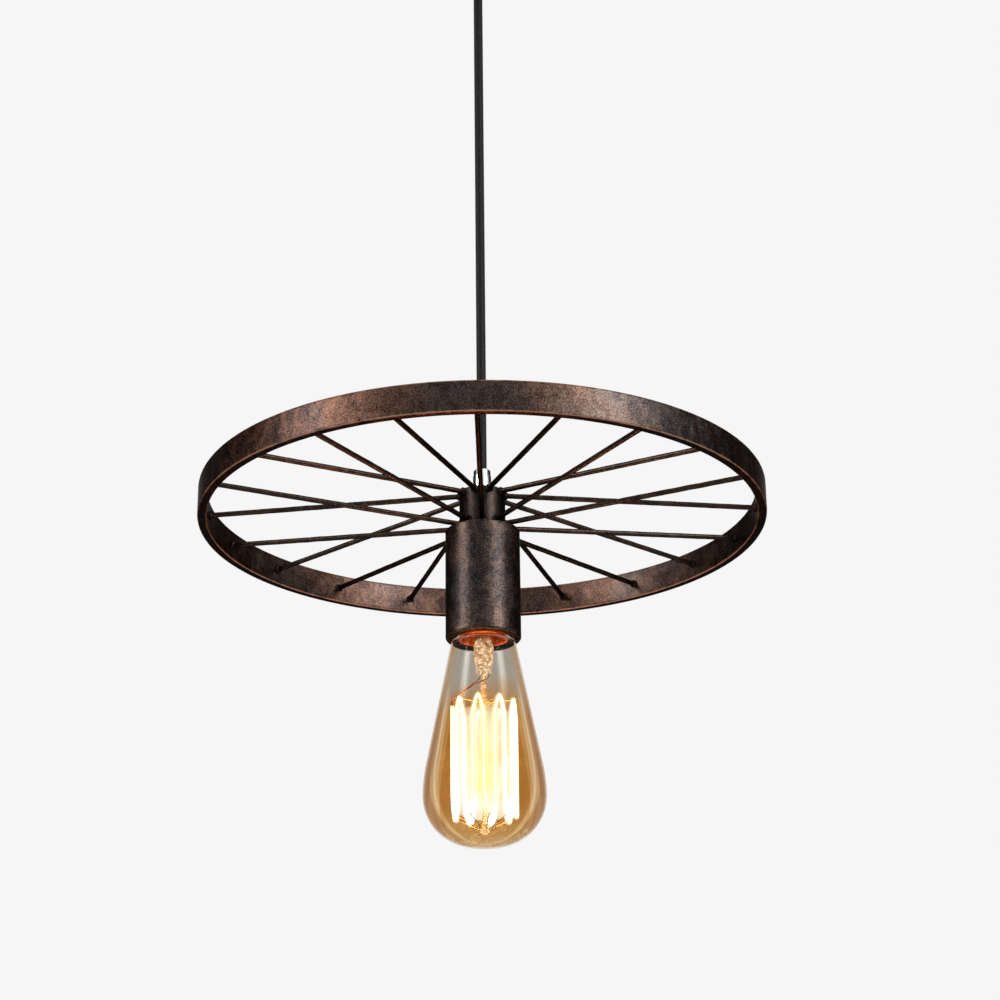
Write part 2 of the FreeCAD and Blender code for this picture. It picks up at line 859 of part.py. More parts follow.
def hub():
    """A turned iron boss, bored through for the cord and the threaded tube."""
    thread, shank = tube_diameter / 2 + fixed_gap, hub_grip_shank_diameter / 2 + fixed_gap
    bore = tube_bore_diameter / 2
    return turned([
        (thread, hub_bottom, 0),
        (hub_radius, hub_bottom, hub_edge_radius),
        (hub_radius, hub_top, hub_edge_radius),
        (shank, hub_top, 0),
        (shank, hub_top - hub_grip_shank_length, 0),
        (bore, hub_top - hub_grip_shank_length, 0),
        (bore, hub_bottom + hub_thread_depth, 0),
        (thread, hub_bottom + hub_thread_depth, 0),
    ])


def hub_grip():
    """The bright cord grip screwed into the hub's top."""
    outer, shank = hub_grip_diameter / 2, hub_grip_shank_diameter / 2
    seat = hub_bush_radius + moving_gap
    shape = turned([
        (sheath_bore_radius, hub_top - hub_grip_shank_length + fixed_gap, 0),
        (shank, hub_top - hub_grip_shank_length + fixed_gap, 0),
        (shank, hub_top + fixed_gap, 0),
        (outer, hub_top + fixed_gap, hub_grip_bottom_radius),
        (outer, hub_grip_top, hub_grip_top_radius),
        (seat, hub_grip_top, 0),
        (seat, tilt_seat_bottom, 0),
        (sheath_bore_radius, tilt_seat_bottom, 0),
    ])
    hole = pin(
        set_screw_diameter / 2 + fixed_gap,
        at(0, 0, hub_grip_screw_level),
        at(0, outer + overrun, hub_grip_screw_level),
    )
    return shape.cut(hole)


def hub_grip_set_screw():
    return set_screw(
        set_screw_diameter / 2,
        at(0, cord_radius + fixed_gap, hub_grip_screw_level),
        at(0, hub_grip_diameter / 2 + set_screw_stand, hub_grip_screw_level),
    )


# Cup and lampholder

def threaded_tube():
    """The hollow tube that holds the hub, the cup and the lampholder together."""
    return tube(
        tube_diameter / 2, tube_bore_diameter / 2, tube_bottom, hub_bottom + hub_thread_depth - fixed_gap
    )


def cup_nut():
    return hexagon_nut(nut_bottom, cup_ceiling - fixed_gap, tube_diameter / 2 + fixed_gap)


def socket_cup():
    """The cover of the lampholder, round at its top edge and drawn in a little at its lip."""
    outer, inner = cup_diameter / 2, cup_diameter / 2 - cup_wall
    hole = tube_diameter / 2 + tube_hole_clearance
    return turned([
        (hole, hub_bottom - fixed_gap, 0),
        (outer, hub_bottom - fixed_gap, cup_top_radius),
        (outer, cup_bottom, cup_lip_radius),
        (inner - cup_lip_inset, cup_bottom, cup_lip_inset / 2),
        (inner - cup_lip_inset, cup_bottom + cup_lip_height, 0),
        (inner, cup_bottom + cup_lip_height + cup_lip_inset, 0),
        (inner, cup_ceiling, max(0, cup_top_radius - cup_wall)),
        (hole, cup_ceiling, 0),
    ])


def lampholder_bracket():
    """The bent strap on top of the lampholder, with a threaded collar for the tube."""
    x, t = lampholder_bracket_span / 2, lampholder_bracket_thickness
    foot = lampholder_top - lampholder_bracket_foot
    shape = strip([
        (-x, lampholder_plate_top, lampholder_bracket_thickness),
        (x, lampholder_plate_top, lampholder_bracket_thickness),
        (x, foot, 0),
        (x - t, foot, 0),
        (x - t, lampholder_plate_bottom, lampholder_bracket_thickness / 2),
        (t - x, lampholder_plate_bottom, lampholder_bracket_thickness / 2),
        (t - x, foot, 0),
        (-x, foot, 0),
    ], lampholder_bracket_width)
    bore = tube_diameter / 2 + fixed_gap
    collar_top = lampholder_plate_top + lampholder_bracket_collar_height
    shape = shape.fuse(rod(bore + lampholder_bracket_collar_wall, lampholder_plate_bottom, collar_top))
    shape = shape.cut(rod(bore, lampholder_plate_bottom - overrun, collar_top + overrun))
    shape.rotate(ORIGIN, UP, full_turn / 4)
    return shape


def lampholder_body():
    """The black insulating body, with its bore, terminal holes and pockets for the strap's feet."""
    outer, bore = lampholder_diameter / 2, shell_root_radius + shell_wall + fixed_gap
    stem = contact_stem_diameter / 2 + fixed_gap
    shape = turned([
        (bore, lampholder_face, lampholder_mouth_radius),
        (outer, lampholder_face, lampholder_face_radius),
        (outer, lampholder_top, lampholder_face_radius),
        (stem, lampholder_top, 0),
        (stem, shell_top, 0),
        (bore, shell_top, 0),
    ])
    y, t = lampholder_bracket_span / 2, lampholder_bracket_thickness
    x = lampholder_bracket_width / 2 + fixed_gap
    pocket_low = lampholder_top - lampholder_bracket_foot - fixed_gap
    for side in (-1, 1):
        y0, y1 = sorted((side * (y + fixed_gap), side * (y - t - fixed_gap)))
        shape = shape.cut(block(-x, x, y0, y1, pocket_low, lampholder_top + overrun))
        shape = shape.cut(rod(
            lampholder_screw_diameter / 2 + fixed_gap,
            lampholder_top - lampholder_screw_length, lampholder_top + overrun, side * lampholder_screw_x,
        ))
    return shape


def lampholder_terminal_screws():
    """Two slotted screws that clamp the cores on top of the lampholder."""
    screws = []
    head_low = lampholder_top + core_diameter + 2 * fixed_gap
    head_high = head_low + lampholder_screw_head_length
    for side in (-1, 1):
        x = side * lampholder_screw_x
        shank_low = lampholder_top - lampholder_screw_length + fixed_gap
        shape = rod(lampholder_screw_diameter / 2, shank_low, head_high, x)
        shape = shape.fuse(rod(lampholder_screw_head_diameter / 2, head_low, head_high, x))
        half = lampholder_screw_head_diameter / 2 + overrun
        screws.append(shape.cut(block(
            x - half, x + half, -set_screw_slot_width / 2, set_screw_slot_width / 2,
            head_high - set_screw_slot_depth, head_high + overrun,
        )))
    return Part.makeCompound(screws)


def lamp_cores():
    """The cores inside the cup: live and neutral to the terminal screws, earth to the strap."""
    start = cord_end_bottom - fixed_gap
    level = lampholder_top + core_radius + fixed_gap
    beside = lampholder_screw_diameter / 2 + core_radius + moving_gap
    shapes = []
    for name, side, angle in (("live", -1, live_angle), ("neutral", 1, neutral_angle)):
        foot = core_start(angle, start)
        shapes.append(core("lamp core " + name, [
            foot,
            foot - UP * lamp_core_first_run,
            at(side * lampholder_screw_x * lamp_core_share, -beside, level),
            at(side * (lampholder_screw_x + lampholder_screw_diameter / 2), -beside, level),
        ]))
    foot = core_start(earth_angle, start)
    strap = lampholder_bracket_span / 2 - lampholder_bracket_thickness - fixed_gap
    shapes.append(core("lamp core earth", [
        foot,
        foot - UP * lamp_core_first_run,
        at(0, strap, start - lamp_core_first_run),
    ]))
    return Part.makeCompound(shapes)


def screw_shell():
    """The threaded shell, with an inward flange at its closed end."""
    low, high = lampholder_face + shell_recess, shell_top - fixed_gap
    outer = shell_root_radius + shell_wall
    shell = turned([
        (shell_root_radius, low, 0),
        (outer, low, 0),
        (outer, high, shell_wall),
        (shell_flange_bore / 2, high, 0),
        (shell_flange_bore / 2, high - shell_flange_thickness, 0),
        (shell_root_radius, high - shell_flange_thickness, 0),
    ])
    return shell.fuse(screw_ridge(shell_root_radius, -1, cap_thread_low + thread_pitch / 2))


def centre_contact():
    """The spring contact that meets the bulb's tip, with its stem through the lampholder's floor."""
    disc = rod(contact_diameter / 2, contact_face, contact_face + contact_thickness)
    return disc.fuse(rod(contact_stem_diameter / 2, contact_face, shell_top + contact_stem_height))


# Bulb

def bulb_cap():
    """The screw cap: skirt, thread and shoulder."""
    skirt, root, shoulder = cap_skirt_diameter / 2, thread_root_radius, cap_shoulder_bore / 2
    skirt_top = cap_rim + cap_skirt_height
    cap = turned([
        (root - cap_wall, cap_rim, 0),
        (skirt, cap_rim, cap_wall / 2),
        (skirt, skirt_top, cap_wall / 2),
        (root, skirt_top + skirt - root, cap_wall / 2),
        (root, bulb_tip - cap_shoulder_drop, cap_shoulder_round),
        (shoulder, insulator_base, 0),
        (shoulder, insulator_base - cap_wall, 0),
        (root - cap_wall, bulb_tip - cap_shoulder_drop - cap_wall / 2, cap_wall),
    ])
    return cap.fuse(screw_ridge(root, 1, cap_thread_low))


def bulb_cap_insulator():
    """The black insulating cone between the cap and its centre contact."""
    stem = tip_stem_diameter / 2 + fixed_gap
    inside, outside = cap_shoulder_bore / 2 - fixed_gap, insulator_tip_diameter / 2
    return turned([
        (stem, insulator_base - insulator_wall, 0),
        (inside, insulator_base - insulator_wall, 0),
        (inside, insulator_base, 0),
        (outside, bulb_tip - tip_height, 0),
        (stem, bulb_tip - tip_height, 0),
    ])


def bulb_tip_contact():
    """The soldered centre contact."""
    disc, stem = tip_diameter / 2, tip_stem_diameter / 2
    return turned([
        (0, insulator_base - insulator_wall + fixed_gap, 0),
        (stem, insulator_base - insulator_wall + fixed_gap, 0),
        (stem, bulb_tip - tip_height + moving_gap, 0),
        (disc, bulb_tip - tip_height + moving_gap, 0),
        (disc, bulb_tip, tip_edge_radius),
        (0, bulb_tip, 0),
    ])


def outline_arc(centre_radius, centre_level, radius, first, middle, last):
    """An arc of an outline in the XZ plane, through three angles counted from +X."""
    ends = []
    for angle in (first, middle, last):
        way = polar(radius, angle, 0)
        ends.append(at(centre_radius + way.x, 0, centre_level + way.y))
    return Part.Arc(*ends).toShape()


def glass_form(inset):
    """The solid inside one face of the bulb's glass: neck, shoulder, tapered side and round bottom."""
    start_r, start_z = taper_start(inset)
    neck = bulb_neck_diameter / 2 - inset
    neck_top = cap_rim + bulb_neck_length + inset
    neck_low = cap_rim - bulb_neck_to_glass_gap - inset
    shoulder_z = cap_rim - bulb_shoulder_drop - inset
    edges = rounded([
        (0, neck_top, 0),
        (neck, neck_top, 0),
        (neck, neck_low, bulb_neck_round),
        (taper_radius(shoulder_z, inset), shoulder_z, bulb_shoulder_round - inset),
        (start_r, start_z, 0),
    ], False)
    below = -full_turn / 4
    join = below + math.degrees(bottom_arc_turn)
    edges.append(outline_arc(
        bulb_radius - bulb_upper_arc_radius, widest_level, bulb_upper_arc_radius - inset,
        bulb_taper_angle, bulb_taper_angle / 2, 0,
    ))
    edges.append(outline_arc(
        bulb_side_arc_inset, widest_level, side_arc_radius - inset, 0, join / 2, join
    ))
    edges.append(outline_arc(
        0, bottom_arc_level, bulb_bottom_arc_radius - inset, join, (join + below) / 2, below
    ))
    edges.append(Part.LineSegment(at(0, 0, bulb_bottom + inset), at(0, 0, neck_top)).toShape())
    return spun(Part.Face(Part.Wire(edges)))


def bulb_glass():
    """The blown envelope, open at its neck."""
    return glass_form(0).cut(glass_form(bulb_wall))


def bulb_stem():
    """The glass stem: flare in the neck, pinched press, centre rod and its two buttons."""
    outer, inner = stem_tube_diameter / 2, stem_tube_diameter / 2 - stem_wall
    flare = bulb_neck_diameter / 2 - bulb_wall - fixed_gap
    top = cap_rim + bulb_neck_length - bulb_wall
    press_low = cap_rim - stem_press_below_rim
    press_high = press_low + stem_press_height
    shape = turned([
        (inner, press_high - stem_wall, 0),
        (outer, press_high - stem_wall, 0),
        (outer, top - stem_flare_height, stem_flare_height / 2),
        (flare, top, 0),
        (flare - stem_wall, top, 0),
        (inner, top - stem_flare_height, stem_flare_height / 2),
    ])
    w, d = stem_press_width / 2, stem_press_depth / 2
    press = block(-w, w, -d, d, press_low, press_high)
    shape = shape.fuse(press.makeFillet(stem_press_round, press.Edges))
    shape = shape.fuse(rod(stem_rod_diameter / 2, rod_bottom, press_low + stem_press_round))
    for level in (upper_support_level, lower_button_level):
        button, half = stem_button_diameter / 2, stem_button_height / 2
        shape = shape.fuse(turned([
            (0, level - half, 0),
            (button, level - half, stem_button_round),
            (button, level + half, stem_button_round),
            (0, level + half, 0),
        ]))
    return shape


def strand_angle(i):
    return cage_seam_angle + (i + 0.5) * strand_step


def filament():
    """One wire led up and down round the cage, with a half round bend at each turn."""
    edges = []
    for i in range(strand_count):
        top = polar(cage_radius, strand_angle(i), cage_top - hairpin_radius)
        low = polar(cage_radius, strand_angle(i), cage_bottom + hairpin_radius)
        ends = (low, top) if i % 2 else (top, low)
        edges.append(Part.LineSegment(*ends).toShape())
        if i < strand_count - 1:
            across = polar(cage_radius * math.cos(math.radians(strand_step / 2)), strand_angle(i + 0.5), 0)
            across.z = cage_top if i % 2 else cage_bottom
            after = polar(cage_radius, strand_angle(i + 1), ends[1].z)
            edges.append(Part.Arc(ends[1], across, after).toShape())
    return wire_along(Part.Wire(edges), filament_diameter / 2)


def filament_supports():
    """Two spiders of straight wires, from the buttons to inside the filament's bends.

    The upper one is level; the lower one slopes up from a button that sits below the cage.
    """
    button = stem_button_diameter / 2
    strand_middle = cage_radius * math.cos(math.radians(strand_step / 2))
    wires = []
    for i in range(strand_count - 1):
        angle = strand_angle(i + 0.5)
        if i % 2:
            foot = polar(button, angle, upper_support_level)
            rest = polar(strand_middle, angle, upper_support_level)
        else:
            foot = polar(button + support_diameter / 4, angle, lower_button_level)
            rest = polar(strand_middle, angle, lower_support_level)
        along = (rest - foot).normalize()
        wires.append(pin(support_diameter / 2, foot, rest + along * support_past_strand))
    return Part.makeCompound(wires)


def filament_leads():
    """The two lead wires from the press to the ends of the filament."""
    leads = []
    press_low = cap_rim - stem_press_below_rim
    strand_top = cage_top - hairpin_radius + fixed_gap
    front = stem_rod_diameter / 2 + lead_diameter / 2 + fixed_gap
    for x, y, i in ((lead_foot_spacing / 2, -front, 0), (-lead_foot_spacing / 2, 0, strand_count - 1)):
        foot = at(x, y, press_low - fixed_gap)
        end = polar(cage_radius, strand_angle(i), strand_top)
        path, radii = route([foot, foot - UP * lead_run_below_press, end + UP * lead_bend_height, end])
        leads.append(wire_along(path, lead_diameter / 2))
    return Part.makeCompound(leads)


def main():
    spokes, beads = wheel_spokes()
    parts = {
        "ceiling_bracket": ceiling_bracket(),
        "canopy": canopy(),
        "canopy_side_screws": canopy_side_screws(),
        "canopy_grip": canopy_grip(),
        "canopy_grip_nut": canopy_grip_nut(),
        "canopy_grip_set_screw": canopy_grip_set_screw(),
        "canopy_grip_bush": canopy_grip_bush(),
        "cord_tail": cord_tail(),
        "terminal_block": terminal_block(),
        "terminal_tunnels": terminal_tunnels(),
        "terminal_block_screws": terminal_block_screws(),
        "earth_screw": earth_screw(),
        "cord": cord(),
        "hub_grip_bush": hub_grip_bush(),
        "cord_end": cord_end(),
        "rim": rim(),
        "weld_beads": beads,
        "hub": hub(),
        "hub_grip": hub_grip(),
        "hub_grip_set_screw": hub_grip_set_screw(),
        "threaded_tube": threaded_tube(),
        "cup_nut": cup_nut(),
        "socket_cup": socket_cup(),
        "lampholder_bracket": lampholder_bracket(),
        "lampholder_body": lampholder_body(),
        "lampholder_terminal_screws": lampholder_terminal_screws(),
        "lamp_cores": lamp_cores(),
        "screw_shell": screw_shell(),
        "centre_contact": centre_contact(),
        "bulb_tip_contact": bulb_tip_contact(),
        "bulb_cap_insulator": bulb_cap_insulator(),
        "bulb_cap": bulb_cap(),
        "bulb_glass": bulb_glass(),
        "bulb_stem": bulb_stem(),
        "filament": filament(),
        "filament_supports": filament_supports(),
        "filament_leads": filament_leads(),
    }
    parts.update(spokes)
    parts.update(canopy_cores())
    os.makedirs("parts", exist_ok=True)
    for name, shape in parts.items():
        shape.exportStep(os.path.join("parts", name + ".step"))
        if not shape.isValid():
            print("not valid:", name)
    print(len(parts), "sub-parts, lowest point", round(min(s.BoundBox.ZMin for s in parts.values()), 2))


main()
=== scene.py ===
"""A pendant light: a spoked iron wheel on a black cord, with a socket cup and a squirrel-cage bulb.

Metres, +Z up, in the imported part's frame: the ceiling plane is z = 0, and the lamp hangs below.
"""

import json
import math

import bmesh
import bpy
from mathutils import Matrix, Vector, noise

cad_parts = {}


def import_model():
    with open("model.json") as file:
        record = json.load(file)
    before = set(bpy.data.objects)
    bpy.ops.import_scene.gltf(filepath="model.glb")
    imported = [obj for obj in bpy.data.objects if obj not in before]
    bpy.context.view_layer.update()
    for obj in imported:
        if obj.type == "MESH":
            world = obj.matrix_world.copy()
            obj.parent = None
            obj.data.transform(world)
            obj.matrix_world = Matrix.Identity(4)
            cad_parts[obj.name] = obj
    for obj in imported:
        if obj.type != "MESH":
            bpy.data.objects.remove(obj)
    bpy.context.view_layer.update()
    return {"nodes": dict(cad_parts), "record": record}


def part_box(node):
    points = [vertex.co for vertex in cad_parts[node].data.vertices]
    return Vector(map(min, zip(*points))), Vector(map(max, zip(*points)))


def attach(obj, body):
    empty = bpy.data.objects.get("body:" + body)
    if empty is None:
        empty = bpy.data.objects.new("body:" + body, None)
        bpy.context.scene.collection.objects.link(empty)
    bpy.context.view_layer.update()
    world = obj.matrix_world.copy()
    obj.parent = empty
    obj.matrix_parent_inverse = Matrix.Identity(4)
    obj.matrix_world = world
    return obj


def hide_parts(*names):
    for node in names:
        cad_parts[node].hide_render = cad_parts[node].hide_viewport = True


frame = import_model()

# Where the photograph was taken from, and where the wheel's middle stands in it
picture_width_px = 1000
wheel_u_px = 482.354
wheel_v_px = 511.629
focal_length_px = 2302.0
sensor_width_mm = 36.0
view_azimuth = 0.892
view_elevation = -21.486
view_roll = -0.491
view_distance = 1.2425


def radii(node):
    """The smallest and the largest distance of a node's points from the lamp's axis."""
    distances = [vert.co.xy.length for vert in frame["nodes"][node].data.vertices]
    return min(distances), max(distances)


# Levels and radii read from the frame
canopy_low, canopy_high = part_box("canopy")
knob_low, knob_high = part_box("canopy_side_screws")
grip_low, grip_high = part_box("canopy_grip")
bush_low, bush_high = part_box("canopy_grip_bush")
hub_grip_low, hub_grip_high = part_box("hub_grip")
hub_bush_low, hub_bush_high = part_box("hub_grip_bush")
rim_low, rim_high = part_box("rim")
hub_low, hub_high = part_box("hub")
cup_low, cup_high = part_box("socket_cup")
cap_low, cap_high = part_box("bulb_cap")
glass_low, glass_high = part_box("bulb_glass")
stem_low, stem_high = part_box("bulb_stem")
cage_low, cage_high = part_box("filament")
lead_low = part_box("filament_leads")[0]
wheel_level = (rim_low.z + rim_high.z) / 2
canopy_bore, canopy_outer = radii("canopy")
rim_inner, rim_outer = radii("rim")
hub_bore, hub_outer = radii("hub")
cup_hole, cup_outer = radii("socket_cup")
cage_outer = radii("filament")[1]
swing_pivot = (bush_low.z + bush_high.z) / 2
tilt_pivot = (hub_bush_low.z + hub_bush_high.z) / 2

# Canopy, its side screws and its grip
canopy_wall = 0.001
canopy_corner = 0.009
canopy_rim_ease = 0.00033
knob_radius = 0.004
knob_length = 0.005
knob_ease = 0.0008
knob_flutes = 30
flute_land = 0.00008
flute_depth = 0.0003
dish_border = 0.0006
dish_slope = 0.0005
dish_depth = 0.0004
tip_start = 0.0441
screw_radius = 0.002
grip_radius = 0.008
grip_shank = 0.005
grip_bore = 0.0027
grip_ease = 0.0012
grip_stand_off = 0.00005
groove_offset = 0.0016
groove_depth = 0.0004
groove_ease = 0.0001
bush_seat = 0.0049
bush_room = 0.0035
bell_mouth = 0.00624
bell_mouth_ease = 0.0004

# Wheel
bar_fineness = 0.0012
rim_ease = 0.0009
rim_wear_reach = 0.0014
hub_thread_bore = 0.00505
hub_shank_bore = 0.00405
hub_shank_depth = 0.007
hub_thread_depth = 0.008
hub_ease = 0.0004
hub_wear_reach = 0.0008
spoke_radius = 0.0014
spoke_count = 20
spoke_sides = 14
spoke_cuts = 60
spoke_wander = 0.00008
spoke_wander_scale = 160.0
spoke_swell_share = 0.05
spoke_swell_scale = Vector((900.0, 900.0, 260.0))
spoke_upper_height = 0.0089
spoke_lower_depth = 0.0085
bead_radius = 0.0023
bead_depth_share = 0.8
bead_crumple = 0.0004
bead_crumple_scale = 700.0
bead_grain_scale = 1500.0

# Grip on the hub
hub_grip_radius = 0.0049
hub_grip_shank = 0.004
hub_grip_bore = 0.0027
hub_grip_seat = 0.0039
hub_bush_room = 0.0026
hub_grip_ease = 0.0005
hub_grip_step = 0.0003
hub_grip_step_drop = 0.0032

# Cup
cup_wall = 0.0014
cup_top_wall = 0.002
cup_top_ease = 0.001
cup_lip_ease = 0.0015
cup_lip_inset = 0.0007
cup_lip_height = 0.004
cup_fineness = 0.002
cup_wear_reach = 0.0011

# Bulb
glass_bottom_arc = 0.055
glass_side_inset = 0.006
glass_upper_arc = 0.08
glass_taper = math.radians(11.3)
glass_wall = 0.0008
glass_neck_radius = 0.0112
glass_shoulder_drop = 0.0014
glass_shoulder_round = 0.0016
glass_neck_round = 0.001
glass_gap = 0.00035
glass_side_steps = 28
glass_fineness = 0.003

# Cap of the bulb, a rolled sheet with the thread pressed into it
cap_root = 0.01215
cap_wall = 0.00055
cap_skirt = 0.01305
cap_skirt_height = 0.0022
cap_shoulder_drop = 0.0053
cap_shoulder_bore = 0.0075
thread_pitch = 0.003629
thread_height = 0.00082
thread_reach = 0.00125
thread_start = 0.00355
thread_turns = 4.0
cap_fineness = 0.0003

# Stem
stem_tube = 0.0045
stem_wall = 0.001
stem_flare = 0.01035
stem_flare_height = 0.007
stem_fineness = 0.0007
press_height = 0.015
press_half_width = 0.0058
press_half_depth = 0.0023
press_narrowing_share = 0.4
press_foot = 0.002
press_foot_ease = 0.001
press_ease = 0.0012
press_fade = 0.006
press_crumple = 0.16
press_crumple_scale = 520.0
press_low = cap_low.z - 0.0185
press_high = press_low + press_height
rod_radius = 0.0016
rod_ease = 0.0004
button_radius = 0.0027
button_half = 0.0017
button_ease = 0.0014

# Cage of hot wire, its supports, its leads and the light that stands round it
strand_count = 18
strand_steps = 20
bend_steps = 8
bend_sharpness = 1.3
strand_bow = 0.0003
draw_reach = 0.011
draw_share = 0.55
wire_radius = 0.00025
support_radius = 0.0002
lead_radius = 0.00026
lead_feet = ((0.0023, -0.0021), (-0.0023, 0.0))
lead_drop = 0.003
lead_bow = Vector((0.0006, -0.0004, 0.0012))
lead_approach = Vector((0.0012, 0, 0.0042))
upper_button = cage_high.z - wire_radius - 0.0005
lower_button = stem_low.z + 0.0022
hook_radius = 0.00055
hook_start = 100.0
hook_step = 32.0
hook_points = 9
veil_inset = 0.0009

# Halo of the whole cage: how far inside the cage each corner lies, its level and its ease
halo_corners = (
    (0.004, cage_low.z + 0.001, 0.005),
    (0.0003, cage_low.z + 0.014, 0.02),
    (0.0035, cage_high.z - 0.005, 0.004),
)
halo_top = cage_high.z - 0.003
halo_fineness = 0.004

# Levels at which the bulb's glass changes colour
amber_start_level = wheel_level - 0.088
amber_full_level = wheel_level - 0.106
pale_start_level = glass_low.z + 0.028
pale_full_level = glass_low.z + 0.012
# Level below which glints are painted on the glass near its bottom pole
glint_level = glass_low.z + 0.0065
glint_blend = 0.002

# Cord, whose points are those of the part's own route
cord_diameter = 0.0052
cord_end_run = 6 * cord_diameter

# Stage
background_grey = 246
background_share = 0.95
even_strength = 0.12
floor_level = -2.4
floor_radius = 14.0
lamp_aim_level = wheel_level - 0.05


def shade(red, green, blue):
    """A colour as a screen shows it, from 0 to 255, in the linear light that shaders take."""
    def linear(value):
        value /= 255
        return value / 12.92 if value <= 0.04045 else ((value + 0.055) / 1.055) ** 2.4
    return (linear(red), linear(green), linear(blue), 1.0)


def add_node(tree, kind, inputs=None, **settings):
    """A shader node whose inputs, by name or number, take a plain value or a socket."""
    made = tree.nodes.new("ShaderNode" + kind)
    for key, value in settings.items():
        setattr(made, key, value)
    for key, value in (inputs or {}).items():
        if isinstance(value, bpy.types.NodeSocket):
            tree.links.new(value, made.inputs[key])
        else:
            made.inputs[key].default_value = value
    return made


class Finish:
    """A node material under construction. Its calls add nodes and give back an output socket."""

    def __init__(self, name, plain):
        self.material = bpy.data.materials.new(name)
        self.material.use_nodes = True
        self.tree = self.material.node_tree
        self.shader = self.tree.nodes["Principled BSDF"]
        self.output = self.tree.nodes["Material Output"]
        for label, value in plain.items():
            self.shader.inputs[label].default_value = value
        self.place = self.node("TexCoord").outputs["Object"]

    def node(self, kind, inputs=None, **settings):
        return add_node(self.tree, kind, inputs, **settings)

    def set(self, label, socket):
        self.tree.links.new(socket, self.shader.inputs[label])

    def mapped(self, scale, shift=(0, 0, 0)):
        """The object's own coordinates, stretched and shifted."""
        return self.node("Mapping", {
            "Vector": self.place, "Scale": scale, "Location": shift,
        }).outputs["Vector"]

    def noise(self, scale, detail=2.0, rough=0.5, distortion=0.0, vector=None):
        return self.node("TexNoise", {
            "Vector": vector or self.place, "Scale": scale, "Detail": detail,
            "Roughness": rough, "Distortion": distortion,
        }).outputs["Fac"]

    def cells(self, scale):
        return self.node("TexVoronoi", {"Vector": self.place, "Scale": scale}).outputs["Distance"]

    def stepped(self, value, low, high, out_low=0.0, out_high=1.0):
        """A smooth rise from out_low to out_high as the value goes from low to high."""
        return self.node("MapRange", {
            "Value": value, "From Min": low, "From Max": high,
            "To Min": out_low, "To Max": out_high,
        }, interpolation_type="SMOOTHSTEP").outputs["Result"]

    def maths(self, operation, first, second=0.0):
        return self.node("Math", {0: first, 1: second}, operation=operation).outputs[0]

    def mixed(self, share, first, second):
        """A colour between two, by a share from 0 to 1."""
        return self.node("Mix", {0: share, 6: first, 7: second}, data_type="RGBA").outputs[2]

    def attribute(self, name):
        return self.node("Attribute", attribute_name=name).outputs["Fac"]

    def height(self):
        """How high a point of the object is, in metres."""
        return self.node("SeparateXYZ", {0: self.place}).outputs["Z"]

    def depth(self):
        """The point's place from front to back."""
        return self.node("SeparateXYZ", {0: self.place}).outputs["Y"]

    def outline(self):
        """How near the outline of an upright turned shape is: 0 in the middle, 1 at the edge."""
        flat = self.node("VectorMath", {0: self.place, 1: (1.0, 1.0, 0.0)}, operation="MULTIPLY")
        radial = self.node("VectorMath", {0: flat.outputs[0]}, operation="NORMALIZE")
        turned = self.node(
            "VectorTransform", {"Vector": radial.outputs[0]}, vector_type="NORMAL",
            convert_from="OBJECT", convert_to="WORLD",
        )
        layer = self.node("LayerWeight", {"Blend": 0.5, "Normal": turned.outputs[0]})
        return layer.outputs["Facing"]

    def shown(self, shader):
        self.tree.links.new(shader, self.output.inputs["Surface"])

    def lets_light_through(self, tint):
        """Glass: the lamps shine through it, tinted, and it throws no dark shadow."""
        clear = self.node("BsdfTransparent", {"Color": tint}).outputs[0]
        shadow = self.node("LightPath").outputs["Is Shadow Ray"]
        glass = self.shader.outputs[0]
        self.shown(self.node("MixShader", {0: shadow, 1: glass, 2: clear}).outputs[0])

    def bumped(self, height, distance, strength=1.0):
        made = self.node("Bump", {"Height": height, "Distance": distance, "Strength": strength})
        self.set("Normal", made.outputs["Normal"])


# Finishes of the wheel and the cup

def worn_iron(name, ground, cool, pewter, copper, edge_tone, low, high):
    """Blackened metal with rubbed bronze: cool patches, fine specks and thin copper on worn edges.

    The specks, pewter or copper, show where their pattern lies between the low and the high value.
    """
    f = Finish(name, {
        "Metallic": 0.96, "Specular IOR Level": 0.1, "Specular Tint": (0.02, 0.015, 0.01, 1.0),
    })
    upright = f.mapped((1.0, 1.0, 0.8))
    patches = f.noise(16.0, 3.0, 0.55, 0.6)
    warmth = f.noise(11.0, 2.0, 0.5, 0.3, f.mapped((1.0, 1.0, 1.0), (0.4, 0.1, 0.2)))
    mottle = f.noise(150.0, 5.0, 0.62, 0.8, upright)
    grain = f.noise(1900.0, 3.0, 0.7, 0.0, upright)
    base = f.mixed(f.stepped(patches, 0.42, 0.6), ground, cool)
    speck = f.mixed(f.stepped(warmth, 0.42, 0.58), pewter, copper)
    share = f.maths("ADD", f.maths("MULTIPLY", mottle, 0.3), f.maths("MULTIPLY", grain, 0.7))
    tone = f.mixed(f.stepped(share, low, high), base, speck)
    bitten = f.maths("ADD", f.attribute("wear"), f.maths("MULTIPLY", mottle, 0.6))
    f.set("Base Color", f.mixed(f.stepped(bitten, 0.75, 1.0), tone, edge_tone))
    f.set("Roughness", f.stepped(share, 0.3, 0.7, 0.24, 0.4))
    f.bumped(share, 0.00016, 0.7)
    return f.material


# Finishes of the fittings

